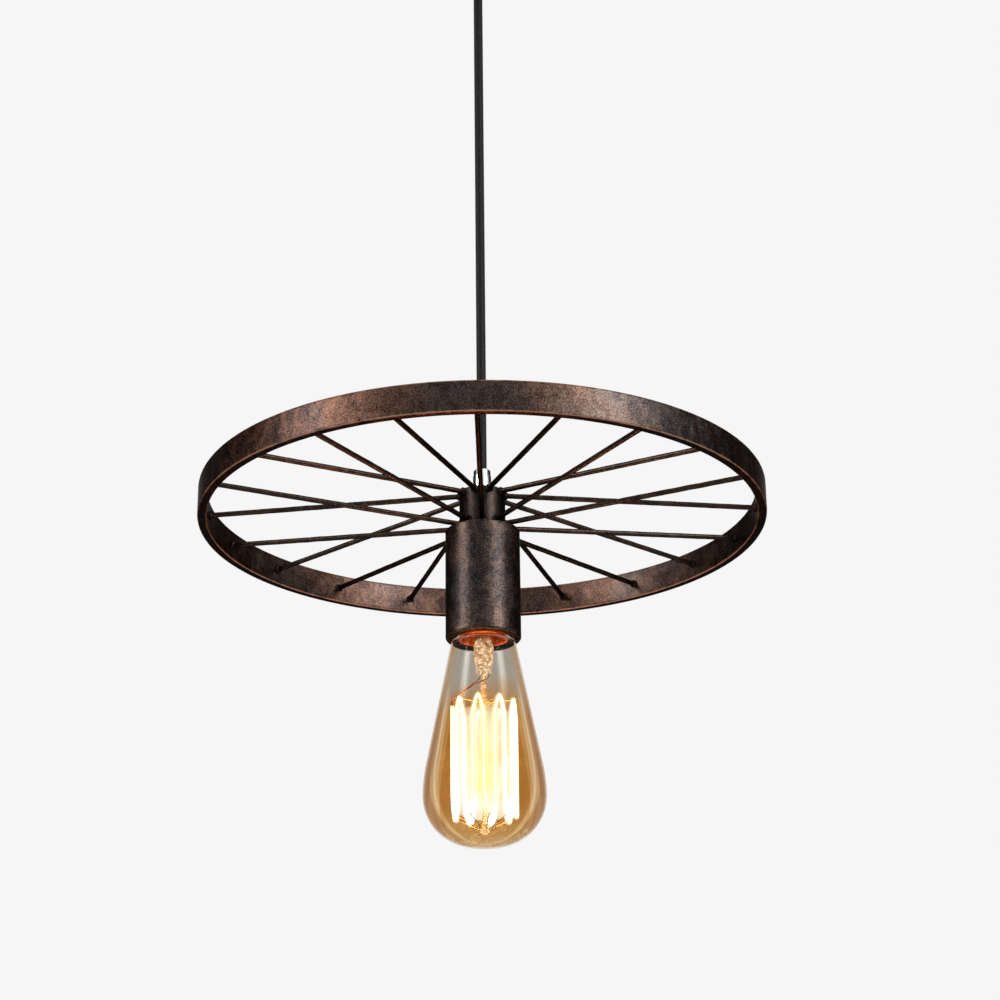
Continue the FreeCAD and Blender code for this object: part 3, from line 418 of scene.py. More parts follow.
def bright_metal(name, colour, roughness, worn=0.0, metallic=1.0):
    """Plated or polished metal with fine turning marks and faint stains."""
    f = Finish(name, {"Metallic": metallic})
    turning = f.noise(90.0, 3.0, 0.6, vector=f.mapped((1.0, 1.0, 60.0)))
    stain = f.noise(220.0, 4.0, 0.6)
    dull = tuple(c * 0.62 for c in colour[:3]) + (1.0,)
    f.set("Base Color", f.mixed(f.stepped(stain, 0.5, 0.75, 0.0, 0.35 + worn), colour, dull))
    f.set("Roughness", f.stepped(stain, 0.35, 0.7, roughness, roughness + 0.14 + worn * 0.2))
    f.bumped(turning, 0.00005, 0.4)
    return f.material


def chrome_plate():
    """Bright plating with rings from turning; seen edge on, its colour is painted dark as a painted
    reflection.
    """
    f = Finish("chrome_plate", {"Metallic": 1.0, "Specular Tint": (0.2, 0.2, 0.2, 1.0)})
    rings = f.noise(40.0, 2.0, 0.5, vector=f.mapped((1.0, 1.0, 70.0)))
    haze = f.noise(260.0, 3.0, 0.6)
    facing = f.node("LayerWeight", {"Blend": 0.5}).outputs["Facing"]
    # Seen edge on, the plating's colour is painted dark: a painted reflection that follows the
    # view.
    painted_dark_edge = f.stepped(facing, 0.2, 0.44)
    bright = f.mixed(f.stepped(rings, 0.35, 0.7), shade(248, 248, 250), shade(214, 214, 218))
    f.set("Base Color", f.mixed(painted_dark_edge, bright, shade(66, 62, 58)))
    f.set("Roughness", f.stepped(haze, 0.35, 0.7, 0.05, 0.14))
    f.bumped(rings, 0.00003, 0.4)
    return f.material


def zinc_plate():
    """Zinc-plated steel: cool grey with a cloudy spangle."""
    f = Finish("zinc_plate", {"Metallic": 1.0})
    spangle = f.stepped(f.cells(420.0), 0.0, 0.9)
    cloud = f.noise(160.0, 3.0, 0.6)
    f.set("Base Color", f.mixed(spangle, shade(176, 180, 184), shade(214, 216, 214)))
    f.set("Roughness", f.stepped(cloud, 0.3, 0.7, 0.26, 0.46))
    f.bumped(cloud, 0.0001, 0.4)
    return f.material


def powder_coat():
    """Satin black powder coat with a fine orange peel."""
    f = Finish("powder_coat", {"Specular IOR Level": 0.35, "Roughness": 0.42})
    peel = f.noise(900.0, 2.0, 0.5)
    dust = f.noise(60.0, 4.0, 0.6)
    f.set("Base Color", f.mixed(f.stepped(dust, 0.45, 0.8), shade(20, 20, 21), shade(34, 33, 32)))
    f.set("Roughness", f.stepped(dust, 0.3, 0.7, 0.38, 0.5))
    f.bumped(peel, 0.00012, 0.5)
    return f.material


def cord_sheath():
    """Black flexible sheath with faint drawing lines along it."""
    f = Finish("cord_sheath", {"Specular IOR Level": 0.4, "IOR": 1.2})
    lines = f.noise(1500.0, 2.0, 0.5, vector=f.mapped((1.0, 1.0, 0.02)))
    scuff = f.noise(300.0, 4.0, 0.6)
    f.set("Base Color", f.mixed(f.stepped(scuff, 0.5, 0.75), shade(18, 17, 20), shade(34, 32, 33)))
    f.set("Roughness", f.stepped(scuff, 0.3, 0.7, 0.42, 0.58))
    f.bumped(lines, 0.00008, 0.5)
    return f.material


def moulded(name, colour, highlight, roughness, index=1.45):
    """A moulded plastic, rubber or resin with a fine grain."""
    f = Finish(name, {"Specular IOR Level": 0.35, "IOR": index})
    cloud = f.noise(120.0, 3.0, 0.6)
    fine = f.noise(900.0, 2.0, 0.6)
    f.set("Base Color", f.mixed(f.stepped(cloud, 0.4, 0.8), colour, highlight))
    f.set("Roughness", f.stepped(fine, 0.3, 0.7, roughness, roughness + 0.12))
    f.bumped(fine, 0.00006, 0.4)
    return f.material


# Finishes of the bulb

def amber_glass():
    """Smoky glass at the neck and amber lustre below, with painted highlights as pale lines inside
    its outline and pale strips at the neck, painted shade at the outline and painted glints near
    the bottom pole.

    A thin blown wall hardly bends the light, hence the low index.
    """
    f = Finish("amber_glass", {
        "Roughness": 0.0, "IOR": 1.08, "Transmission Weight": 1.0,
        "Specular IOR Level": 1.0, "Specular Tint": (1.0, 0.95, 0.85, 1.0),
    })
    wave = f.maths("MULTIPLY", f.noise(40.0, 2.0), 0.016)
    level = f.maths("ADD", f.height(), wave)
    smoky = f.stepped(level, amber_full_level, amber_start_level)
    pale = f.stepped(level, pale_full_level, pale_start_level, 1.0, 0.0)
    side = f.outline()
    cloud = f.noise(26.0, 3.0, 0.6, 0.8)
    # Beyond the pale line, at the outline, the colour changes: painted shade that follows the view.
    outside = f.stepped(side, 0.45, 0.48)
    # A pale line inside the outline and pale strips at the neck: painted highlights that follow the
    # view.
    painted_highlight_line = f.maths("SUBTRACT", f.stepped(side, 0.345, 0.37), outside)
    painted_highlight_strip = f.maths("SUBTRACT", f.stepped(side, 0.11, 0.135), f.stepped(side, 0.17, 0.2))
    amber = f.mixed(f.stepped(cloud, 0.35, 0.65), shade(206, 166, 110), shade(222, 184, 132))
    amber = f.mixed(f.maths("MULTIPLY", pale, 0.6), amber, shade(224, 204, 166))
    amber = f.mixed(outside, amber, shade(202, 170, 134))
    amber = f.mixed(f.maths("MULTIPLY", painted_highlight_line, 0.9), amber, shade(252, 244, 228))
    neck = f.mixed(outside, shade(206, 200, 192), shade(212, 192, 166))
    neck = f.mixed(f.maths("MULTIPLY", painted_highlight_strip, 0.9), neck, shade(248, 246, 242))
    tint = f.mixed(smoky, amber, neck)
    # Near the outline the tint turns darker: painted shade.
    tint = f.mixed(f.stepped(side, 0.72, 0.92), tint, shade(186, 154, 124))
    # Glints near the bottom pole: painted reflections.
    near_pole = f.stepped(f.height(), glint_level, glint_level + glint_blend, 1.0, 0.0)
    painted_glints = f.maths("MULTIPLY", near_pole, f.stepped(f.noise(260.0, 3.0, 0.6, 2.4), 0.5, 0.58))
    tint = f.mixed(f.maths("MULTIPLY", painted_glints, 0.8), tint, shade(255, 240, 208))
    f.set("Base Color", tint)
    f.lets_light_through(f.mixed(smoky, shade(236, 208, 160), shade(236, 232, 226)))
    return f.material


def stem_glass():
    """The stem's soft glass, clear above and painted gold where it is pinched.

    The folds of the pinch hold painted light of the filament: gold, white glints and a glow.
    """
    f = Finish("stem_glass", {"Roughness": 0.03, "IOR": 1.4, "Transmission Weight": 1.0})
    pinch = f.noise(620.0, 3.0, 0.65, 1.6)
    below = f.stepped(f.height(), cap_low.z - 0.003, cap_low.z + 0.001, 1.0, 0.0)
    # Gold and white in the folds: painted light and painted glints of the filament.
    painted_fold_light = f.mixed(f.stepped(pinch, 0.38, 0.6), shade(204, 156, 104), shade(255, 250, 238))
    f.set("Base Color", f.mixed(below, shade(252, 250, 244), painted_fold_light))
    # The folds glow though no lamp is there: a painted glow.
    painted_glow = f.maths("MULTIPLY", below, f.stepped(pinch, 0.5, 0.62))
    f.set("Emission Color", f.mixed(painted_glow, (0.0, 0.0, 0.0, 1.0), (1.0, 0.8, 0.52, 1.0)))
    f.shader.inputs["Emission Strength"].default_value = 1.1
    f.bumped(pinch, 0.003, below)
    f.lets_light_through(shade(246, 236, 220))
    return f.material


def hot_filament():
    """The filament at full heat."""
    f = Finish("hot_filament", {"Base Color": shade(255, 190, 90), "Roughness": 0.6})
    heat = f.noise(120.0, 2.0)
    f.set("Emission Color", f.mixed(heat, (1.0, 0.62, 0.24, 1.0), (1.0, 0.74, 0.36, 1.0)))
    f.shader.inputs["Emission Strength"].default_value = 40.0
    return f.material


def wire_glow(name, share, strength, softness):
    """The light that stands round the hot wire: a veil that thins out towards its edge.

    It is bluish, so that the amber wall in front leaves it nearly white, and yellower at the front.
    """
    f = Finish(name, {
        "Base Color": (0.0, 0.0, 0.0, 1.0), "Roughness": 1.0, "Specular IOR Level": 0.0,
    })
    white = f.mixed(f.noise(60.0, 2.0), (0.45, 0.62, 0.94, 1.0), (0.48, 0.66, 1.0, 1.0))
    nearest = f.stepped(f.depth(), 0.97 * cage_low.y, 0.8 * cage_low.y, 1.0, 0.0)
    f.set("Emission Color", f.mixed(nearest, white, (0.43, 0.65, 0.42, 1.0)))
    f.shader.inputs["Emission Strength"].default_value = strength
    facing = f.node("LayerWeight", {"Blend": 0.5}).outputs["Facing"]
    thin = f.maths("POWER", f.maths("SUBTRACT", 1.0, facing), softness)
    below_bends = f.stepped(f.height(), cage_high.z - 0.012, cage_high.z - 0.001, 1.0, 0.3)
    clear = f.node("BsdfTransparent").outputs[0]
    cover = f.maths("MULTIPLY", f.maths("MULTIPLY", thin, below_bends), share)
    f.shown(f.node("MixShader", {0: cover, 1: clear, 2: f.shader.outputs[0]}).outputs[0])
    return f.material


finishes = {
    # The hoop: warm brown, rubbed to copper in places
    "aged_bronze": worn_iron(
        "rim_bronze", shade(36, 26, 22), shade(28, 27, 29), shade(84, 74, 69), shade(100, 75, 63),
        shade(142, 106, 88), 0.42, 0.68,
    ),
    # The cup: cooler and blacker than the hoop
    "cup_bronze": worn_iron(
        "cup_bronze", shade(30, 27, 26), shade(25, 27, 31), shade(78, 74, 74), shade(96, 79, 70),
        shade(112, 88, 76), 0.42, 0.68,
    ),
    # The hub: the darkest of the turned pieces
    "hub_bronze": worn_iron(
        "hub_bronze", shade(21, 19, 18), shade(18, 20, 24), shade(50, 48, 49), shade(62, 51, 45),
        shade(86, 69, 60), 0.45, 0.7,
    ),
    # Thin rod: almost black, brown where it was handled
    "dark_spoke": worn_iron(
        "dark_spoke", shade(38, 29, 25), shade(32, 28, 26), shade(74, 62, 55), shade(82, 62, 52),
        shade(104, 80, 66), 0.46, 0.66,
    ),
    # Weld, with burnt brown high spots
    "weld_metal": worn_iron(
        "weld_metal", shade(24, 20, 19), shade(22, 21, 21), shade(52, 44, 39), shade(58, 44, 37),
        shade(80, 62, 52), 0.48, 0.68,
    ),
    "black_canopy": powder_coat(),
    "black_cord": cord_sheath(),
    "chrome_grip": chrome_plate(),
    "zinc_steel": zinc_plate(),
    "black_rubber": moulded("black_rubber", shade(24, 24, 24), shade(36, 35, 34), 0.6),
    "black_holder": moulded("black_resin", shade(8, 8, 8), shade(14, 13, 12), 0.45, index=1.06),
    "white_block": moulded("white_block", shade(226, 224, 214), shade(236, 234, 226), 0.4),
    "brass": bright_metal("brass", shade(212, 170, 92), 0.2, 0.3),
    # The cap is deep orange: partly its brass, partly the filament's warm light painted into its
    # colour.
    "cap_brass": bright_metal("cap_brass", shade(190, 98, 40), 0.3, 0.3, metallic=0.6),
    "cap_black": moulded("cap_insulator", shade(22, 20, 24), shade(34, 30, 34), 0.15),
    "solder": bright_metal("solder", shade(190, 190, 186), 0.3, 0.2),
    "amber_glass": amber_glass(),
    "stem_glass": stem_glass(),
    "filament_glow": hot_filament(),
    "support_wire": bright_metal("support_wire", shade(150, 132, 112), 0.35),
    "copper_lead": bright_metal("copper_lead", shade(136, 88, 58), 0.25, 0.2),
    "brown_core": moulded("brown_core", shade(92, 52, 30), shade(108, 64, 38), 0.4),
    "blue_core": moulded("blue_core", shade(38, 78, 150), shade(52, 92, 164), 0.4),
    "earth_core": moulded("earth_core", shade(58, 130, 52), shade(196, 178, 40), 0.4),
}


# Shapes

def lathe(points, steps, fineness=None, segments=4, closed=True):
    """A profile of (radius, z, ease) points, its eased corners rounded, turned about the Z axis.

    A closed profile makes a ring; an open one runs from the axis back to the axis.
    """
    bm = bmesh.new()
    corners = [bm.verts.new((radius, 0, z)) for radius, z, ease in points]
    pairs = list(zip(corners, corners[1:])) + ([(corners[-1], corners[0])] if closed else [])
    for pair in pairs:
        bm.edges.new(pair)
    for i, (radius, z, ease) in enumerate(points):
        if not ease:
            continue
        here = Vector((radius, z))
        before = Vector(points[i - 1][:2]) - here
        after = Vector(points[(i + 1) % len(points)][:2]) - here
        reach = ease / math.tan(before.angle(after) / 2)
        bmesh.ops.bevel(
            bm, geom=[corners[i]], offset=reach, offset_type="OFFSET", segments=segments,
            profile=0.5, affect="VERTICES", material=-1,
        )
    if fineness:
        for edge in [e for e in bm.edges if e.calc_length() > 1.5 * fineness]:
            cuts = int(edge.calc_length() / fineness)
            bmesh.ops.subdivide_edges(bm, edges=[edge], cuts=cuts)
    bmesh.ops.spin(
        bm, geom=bm.verts[:] + bm.edges[:], cent=(0, 0, 0), axis=(0, 0, 1),
        angle=math.tau, steps=steps, use_merge=True, use_duplicate=False,
    )
    bmesh.ops.remove_doubles(bm, verts=bm.verts[:], dist=1e-7)
    bmesh.ops.recalc_face_normals(bm, faces=bm.faces[:])
    return bm


def mark_wear(bm, profile, reach):
    """Notes on each vertex how near an eased corner is: 1 on it, 0 past the reach."""
    layer = bm.verts.layers.float.new("wear")
    corners = [Vector((radius, z)) for radius, z, ease in profile if ease]
    for vert in bm.verts:
        here = Vector((vert.co.xy.length, vert.co.z))
        nearest = min((here - corner).length for corner in corners)
        vert[layer] = max(0.0, 1.0 - nearest / reach)


def put_in(name, data):
    """Adds an object with this name and data to the scene."""
    obj = bpy.data.objects.new(name, data)
    bpy.context.scene.collection.objects.link(obj)
    return obj


def mounted(name, data, slot, body, replaced=(), finish=None):
    """A named piece that rides on its body and stands for the nodes it replaces."""
    data.materials.append(finish or finishes[slot])
    obj = put_in(name, data)
    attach(obj, body)
    if replaced:
        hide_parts(*replaced)
    return obj


def piece(name, bm, slot, body, replaced=(), finish=None, sharp=30.0):
    """A finished shape as a named piece, shaded smooth up to a sharp angle in degrees."""
    mesh = bpy.data.meshes.new(name)
    bm.to_mesh(mesh)
    bm.free()
    mesh.shade_smooth()
    mesh.set_sharp_from_angle(angle=math.radians(sharp))
    return mounted(name, mesh, slot, body, replaced, finish)


# Canopy

def canopy_cover():
    """The turned cover on the ceiling, with its wall rounded into its face."""
    bm = lathe([
        (canopy_bore, canopy_low.z, 0),
        (canopy_outer, canopy_low.z, canopy_corner),
        (canopy_outer, canopy_high.z, canopy_rim_ease),
        (canopy_outer - canopy_wall, canopy_high.z, canopy_rim_ease),
        (canopy_outer - canopy_wall, canopy_low.z + canopy_wall, canopy_corner - canopy_wall),
        (canopy_bore, canopy_low.z + canopy_wall, 0),
    ], 192, segments=12)
    piece("canopy_cover", bm, "black_canopy", "ceiling_set", ["canopy"])


def side_screws():
    """The two side screws, with fluted knobs and a dished end."""
    bm = bmesh.new()
    axis_level = (knob_low.z + knob_high.z) / 2
    shank = knob_high.x - knob_length - tip_start
    for side in (-1, 1):
        turn = Matrix.Rotation(side * math.pi / 2, 4, "Y")
        middle = Vector((side * (knob_high.x - knob_length / 2), 0, axis_level))
        made = bmesh.ops.create_cone(
            bm, cap_ends=True, segments=2 * knob_flutes, radius1=knob_radius, radius2=knob_radius,
            depth=knob_length, matrix=Matrix.Translation(middle) @ turn,
        )
        verts = set(made["verts"])
        faces = [f for f in bm.faces if set(f.verts) <= verts]
        ends = [f for f in faces if len(f.verts) > 4]
        rings = [e for e in bm.edges if any(f in ends for f in e.link_faces)]
        bmesh.ops.bevel(
            bm, geom=rings, offset=knob_ease, offset_type="OFFSET", segments=3, profile=0.5,
            affect="EDGES", material=-1, clamp_overlap=True,
        )
        sides = [
            f for f in bm.faces
            if abs(f.normal.x) < 0.1 and f.calc_center_median().x * side > canopy_outer
            and abs((f.calc_center_median() - middle).x) < knob_length / 4
        ]
        bmesh.ops.inset_individual(bm, faces=sides[::2], thickness=flute_land, depth=-flute_depth)
        outward = [f for f in bm.faces if f.normal.x * side > 0.9]
        dish = max(outward, key=lambda f: f.calc_center_median().x * side)
        bmesh.ops.inset_region(bm, faces=[dish], thickness=dish_border, depth=0.0)
        bmesh.ops.inset_region(bm, faces=[dish], thickness=dish_slope, depth=-dish_depth)
        seat = Vector((side * (tip_start + shank / 2), 0, axis_level))
        bmesh.ops.create_cone(
            bm, cap_ends=True, segments=24, radius1=screw_radius, radius2=screw_radius,
            depth=shank, matrix=Matrix.Translation(seat) @ turn,
        )
    bmesh.ops.recalc_face_normals(bm, faces=bm.faces[:])
    piece("side_screws", bm, "black_canopy", "ceiling_set", ["canopy_side_screws"])


def gland():
    """The grip under the canopy, with its bell mouth and two fine grooves."""
    groove_level = (grip_low.z + canopy_low.z) / 2
    points = [
        (grip_bore, grip_high.z, 0),
        (grip_bore, swing_pivot + bush_room, 0),
        (bush_seat, swing_pivot + bush_room, 0),
        (bush_seat, swing_pivot, 0),
        (bell_mouth, grip_low.z, bell_mouth_ease),
        (grip_radius, grip_low.z, grip_ease),
    ]
    for step in (-1, 1):
        level = groove_level + step * groove_offset
        points += [
            (grip_radius, level - groove_depth, groove_ease),
            (grip_radius - groove_depth, level, groove_ease),
            (grip_radius, level + groove_depth, groove_ease),
        ]
    points += [
        (grip_radius, canopy_low.z - grip_stand_off, grip_ease),
        (grip_shank, canopy_low.z - grip_stand_off, 0),
        (grip_shank, grip_high.z, 0),
    ]
    bm = lathe(points, 96)
    piece("gland", bm, "black_canopy", "ceiling_set", ["canopy_grip"])


def bright_grip():
    """The plated grip on the hub, turned with a fine step near its top."""
    step_level = hub_grip_high.z - hub_grip_step_drop
    seat_bottom = tilt_pivot - hub_bush_room
    bm = lathe([
        (hub_grip_bore, hub_grip_low.z, 0),
        (hub_grip_shank, hub_grip_low.z, 0),
        (hub_grip_shank, hub_high.z + grip_stand_off, 0),
        (hub_grip_radius, hub_high.z + grip_stand_off, hub_grip_ease),
        (hub_grip_radius, step_level - hub_grip_step, groove_ease),
        (hub_grip_radius - hub_grip_step, step_level, groove_ease),
        (hub_grip_radius - hub_grip_step, hub_grip_high.z, hub_grip_ease),
        (hub_grip_seat, hub_grip_high.z, 0),
        (hub_grip_seat, seat_bottom, 0),
        (hub_grip_bore, seat_bottom, 0),
    ], 72)
    piece("bright_grip", bm, "chrome_grip", "wheel", ["hub_grip"])


# Wheel

def iron_rim():
    """The hoop of flat iron bar, with eased edges."""
    profile = [
        (rim_inner, rim_low.z, rim_ease),
        (rim_outer, rim_low.z, rim_ease),
        (rim_outer, rim_high.z, rim_ease),
        (rim_inner, rim_high.z, rim_ease),
    ]
    bm = lathe(profile, 288, fineness=bar_fineness)
    mark_wear(bm, profile, rim_wear_reach)
    piece("iron_rim", bm, "aged_bronze", "wheel", ["rim"])


def wheel_hub():
    """The turned boss in the middle of the wheel."""
    profile = [
        (hub_thread_bore, hub_low.z, 0),
        (hub_outer, hub_low.z, hub_ease),
        (hub_outer, hub_high.z, hub_ease),
        (hub_shank_bore, hub_high.z, 0),
        (hub_shank_bore, hub_high.z - hub_shank_depth, 0),
        (hub_bore, hub_high.z - hub_shank_depth, 0),
        (hub_bore, hub_low.z + hub_thread_depth, 0),
        (hub_thread_bore, hub_low.z + hub_thread_depth, 0),
    ]
    bm = lathe(profile, 96, fineness=bar_fineness)
    mark_wear(bm, profile, hub_wear_reach)
    piece("wheel_hub", bm, "aged_bronze", "wheel", ["hub"], finishes["hub_bronze"])


def cup():
    """The socket cup: round at its top edge, rolled in at its lip."""
    inner = cup_outer - cup_wall
    ceiling = cup_high.z - cup_top_wall
    rubbed_corner = (cup_outer, cup_high.z, cup_top_ease)
    bm = lathe([
        (cup_hole, cup_high.z, 0),
        rubbed_corner,
        (cup_outer, cup_low.z, cup_lip_ease),
        (inner - cup_lip_inset, cup_low.z, cup_lip_inset / 2),
        (inner - cup_lip_inset, cup_low.z + cup_lip_height, 0),
        (inner, cup_low.z + cup_lip_height + cup_lip_inset, 0),
        (inner, ceiling, 0),
        (cup_hole, ceiling, 0),
    ], 128, fineness=cup_fineness, segments=6)
    mark_wear(bm, [rubbed_corner], cup_wear_reach)
    piece("cup", bm, "aged_bronze", "wheel", ["socket_cup"], finishes["cup_bronze"])


def spoke_ends(number):
    """The hub end and the rim end of a spoke, counted from the front one."""
    level = spoke_upper_height if number % 2 else -spoke_lower_depth
    turn = math.radians(-90.0 + number * 360.0 / spoke_count)
    way = Vector((math.cos(turn), math.sin(turn), 0))
    start = way * hub_outer + Vector((0, 0, wheel_level + level))
    end = way * rim_inner + Vector((0, 0, wheel_level))
    return start, end


def rods():
    """The spokes, as hand-worked rods that aren't quite round or straight."""
    for number in range(spoke_count):
        start, end = spoke_ends(number)
        along = end - start
        turn = along.to_track_quat("Z", "Y").to_matrix().to_4x4()
        bm = bmesh.new()
        bmesh.ops.create_cone(
            bm, cap_ends=True, segments=spoke_sides, radius1=spoke_radius, radius2=spoke_radius,
            depth=along.length,
        )
        sides = [e for e in bm.edges if abs(e.verts[0].co.z - e.verts[1].co.z) > spoke_radius]
        bmesh.ops.subdivide_edges(bm, edges=sides, cuts=spoke_cuts)
        for vert in bm.verts:
            seat = Vector((number * 7.0, 0, vert.co.z * spoke_wander_scale))
            across, deep = noise.noise(seat), noise.noise(seat + Vector((0, 9.0, 0)))
            swell = 1.0 + spoke_swell_share * noise.noise(vert.co * spoke_swell_scale)
            vert.co.x *= swell
            vert.co.y *= swell
            vert.co += Vector((across, deep, 0)) * spoke_wander
        place = Matrix.Translation((start + end) / 2) @ turn
        bmesh.ops.transform(bm, matrix=place, verts=bm.verts[:])
        node = "spoke_%02d" % (number + 1)
        piece("rod_%02d" % (number + 1), bm, "dark_spoke", "wheel", [node], sharp=50.0)


def welds():
    """A lump of weld round both ends of each spoke."""
    bm = bmesh.new()
    for number in range(spoke_count):
        start, end = spoke_ends(number)
        for foot, along in ((start, end - start), (end, start - end)):
            turn = along.to_track_quat("Z", "Y").to_matrix().to_4x4()
            place = Matrix.Translation(foot) @ turn @ Matrix.Diagonal((1, 1, bead_depth_share, 1))
            made = bmesh.ops.create_icosphere(bm, subdivisions=3, radius=bead_radius, matrix=place)
            for vert in made["verts"]:
                push = noise.noise(vert.co * bead_crumple_scale)
                push += 0.5 * noise.noise(vert.co * bead_grain_scale)
                vert.co += (vert.co - foot).normalized() * push * bead_crumple
    piece("welds", bm, "dark_spoke", "wheel", ["weld_beads"], finishes["weld_metal"])


# Bulb

def glass_profile(inset):
    """The outline of one face of the envelope, from the bottom pole up to the neck's end."""
    widest = glass_high.x
    side = widest - glass_side_inset
    turn = math.asin(glass_side_inset / (glass_bottom_arc - side))
    bottom_centre = glass_low.z + glass_bottom_arc
    level = bottom_centre - (glass_bottom_arc - side) * math.cos(turn)
    points = []

    def arc(radius_at, level_at, radius, first, last, steps):
        for i in range(steps + 1):
            angle = first + (last - first) * i / steps
            out, up = radius * math.cos(angle), radius * math.sin(angle)
            points.append((radius_at + out, level_at + up, 0))

    down = -math.pi / 2
    points.append((0.0, glass_low.z + inset, 0))
    arc(0.0, bottom_centre, glass_bottom_arc - inset, down + turn / 5, down + turn, 4)
    points.pop()
    arc(glass_side_inset, level, side - inset, down + turn, 0.0, glass_side_steps)
    points.pop()
    arc(widest - glass_upper_arc, level, glass_upper_arc - inset, 0.0, glass_taper, 8)
    meet_r, meet_z = points[-1][:2]
    shoulder_z = cap_low.z - glass_shoulder_drop - inset
    shoulder_r = meet_r - math.tan(glass_taper) * (shoulder_z - meet_z)
    neck = glass_neck_radius - inset
    points.append((shoulder_r, shoulder_z, glass_shoulder_round - inset))
    points.append((neck, cap_low.z - glass_gap - inset, glass_neck_round))
    points.append((neck, glass_high.z, 0))
    return points


def envelope():
    """The blown glass, with its outer and its inner face."""
    outside, inside = glass_profile(0.0), glass_profile(glass_wall)
    bm = lathe(outside + inside[::-1], 160, fineness=glass_fineness, segments=8, closed=False)
    piece("envelope", bm, "amber_glass", "bulb", ["bulb_glass"], sharp=60.0)


def rolled_cap():
    """The cap as a sheet with the thread rolled into it, seen both outside and through the neck."""
    skirt_top = cap_low.z + cap_skirt_height
    outside = [
        (cap_skirt, cap_low.z, cap_wall / 2),
        (cap_skirt, skirt_top, cap_wall / 2),
        (cap_root, skirt_top + cap_skirt - cap_root, cap_wall / 2),
        (cap_root, cap_high.z - cap_shoulder_drop, cap_wall * 2),
        (cap_shoulder_bore, cap_high.z, 0),
    ]
    inside = [
        (cap_shoulder_bore, cap_high.z - cap_wall, 0),
        (cap_root - cap_wall, cap_high.z - cap_shoulder_drop - cap_wall / 2, cap_wall),
        (cap_root - cap_wall, cap_low.z, 0),
    ]
    bm = lathe(outside + inside, 120, fineness=cap_fineness)
    first = cap_low.z + thread_start
    last = first + thread_pitch * (thread_turns - 0.5)
    for vert in bm.verts:
        round_share = (math.atan2(vert.co.y, vert.co.x) % math.tau) / math.tau
        from_crest = (vert.co.z - first - thread_pitch * round_share) % thread_pitch
        from_crest = min(from_crest, thread_pitch - from_crest)
        if from_crest > thread_reach or vert.co.xy.length < cap_root - 1.5 * cap_wall:
            continue
        inset = max(first + thread_pitch * 0.2 - vert.co.z, vert.co.z - last, 0.0)
        fade = max(0.0, 1.0 - inset / (thread_pitch * 0.5))
        lift = thread_height * fade * (0.5 + 0.5 * math.cos(math.pi * from_crest / thread_reach))
        vert.co.xy *= 1.0 + lift / vert.co.xy.length
    piece("rolled_cap", bm, "cap_brass", "bulb", ["bulb_cap"], sharp=50.0)


def strand_way(number):
    """The direction of a strand from the axis, counted from the seam at the left."""
    turn = math.pi + (number + 0.5) * math.tau / strand_count
    return Vector((math.cos(turn), math.sin(turn), 0))


def cage_path(inset=0.0):
    """The points of the hot wire, up and down the cage and drawn together at each hook."""
    radius = cage_outer - wire_radius - inset
    bend = radius * math.sin(math.pi / strand_count)
    low, high = cage_low.z + wire_radius, cage_high.z - wire_radius
    points = []

    def drawn_in(here, neighbour, level, end_level):
        """The strand's place at a level, pulled towards its neighbour near the end they share."""
        near = max(0.0, 1.0 - abs(level - end_level) / draw_reach)
        return here.lerp((here + neighbour) / 2, draw_share * near * near)

    for i in range(strand_count):
        leaning = strand_bow * noise.noise(Vector((i * 3.7, 0, 0)))
        here = strand_way(i) * radius
        before, after = strand_way(i - 1) * radius, strand_way(i + 1) * radius
        ends = (low + bend, high - bend) if i % 2 else (high - bend, low + bend)
        for k in range(strand_steps + 1):
            level = ends[0] + (ends[1] - ends[0]) * k / strand_steps
            spot = here
            if i:
                spot = drawn_in(spot, before, level, ends[0])
            if i < strand_count - 1:
                spot = drawn_in(spot, after, level, ends[1])
            bow = leaning * math.sin(math.pi * k / strand_steps)
            points.append(spot * (1.0 + bow / radius) + Vector((0, 0, level)))
        if i == strand_count - 1:
            break
        centre = (here + after) / 2
        side = 1 if i % 2 else -1
        for k in range(1, bend_steps):
            across = math.cos(math.pi * k / bend_steps)
            rise = side * bend * (1.0 - abs(across) ** bend_sharpness)
            reach = (here - centre) * across * (1.0 - draw_share)
            points.append(centre + reach + Vector((0, 0, ends[1] + rise)))
    return points


def round_curve(name, radius, resolution):
    """An empty curve that makes closed round wire of its splines."""
    curve = bpy.data.curves.new(name, "CURVE")
    curve.dimensions = "3D"
    curve.bevel_depth = radius
    curve.bevel_resolution = resolution
    curve.use_fill_caps = True
    return curve


def wire(name, runs, radius, slot, body, replaced=(), finish=None, resolution=4):
    """Round wires that follow lists of points, as one named piece."""
    curve = round_curve(name, radius, resolution)
    for run in runs:
        spline = curve.splines.new("POLY")
        spline.points.add(len(run) - 1)
        for point, spot in zip(spline.points, run):
            point.co = (*spot, 1.0)
        spline.use_smooth = True
    return mounted(name, curve, slot, body, replaced, finish)


def soft_run(points, steps=6):
    """Points on a smooth way through the given ones."""
    ends = [points[0] * 2 - points[1]] + list(points) + [points[-1] * 2 - points[-2]]
    run = []
    for a, b, c, d in zip(ends, ends[1:], ends[2:], ends[3:]):
        for k in range(steps):
            t = k / steps
            run.append((b * 2 + (c - a) * t + (a * 2 - b * 5 + c * 4 - d) * t ** 2
                        + (b * 3 - a - c * 3 + d) * t ** 3) / 2)
    return run + [points[-1]]


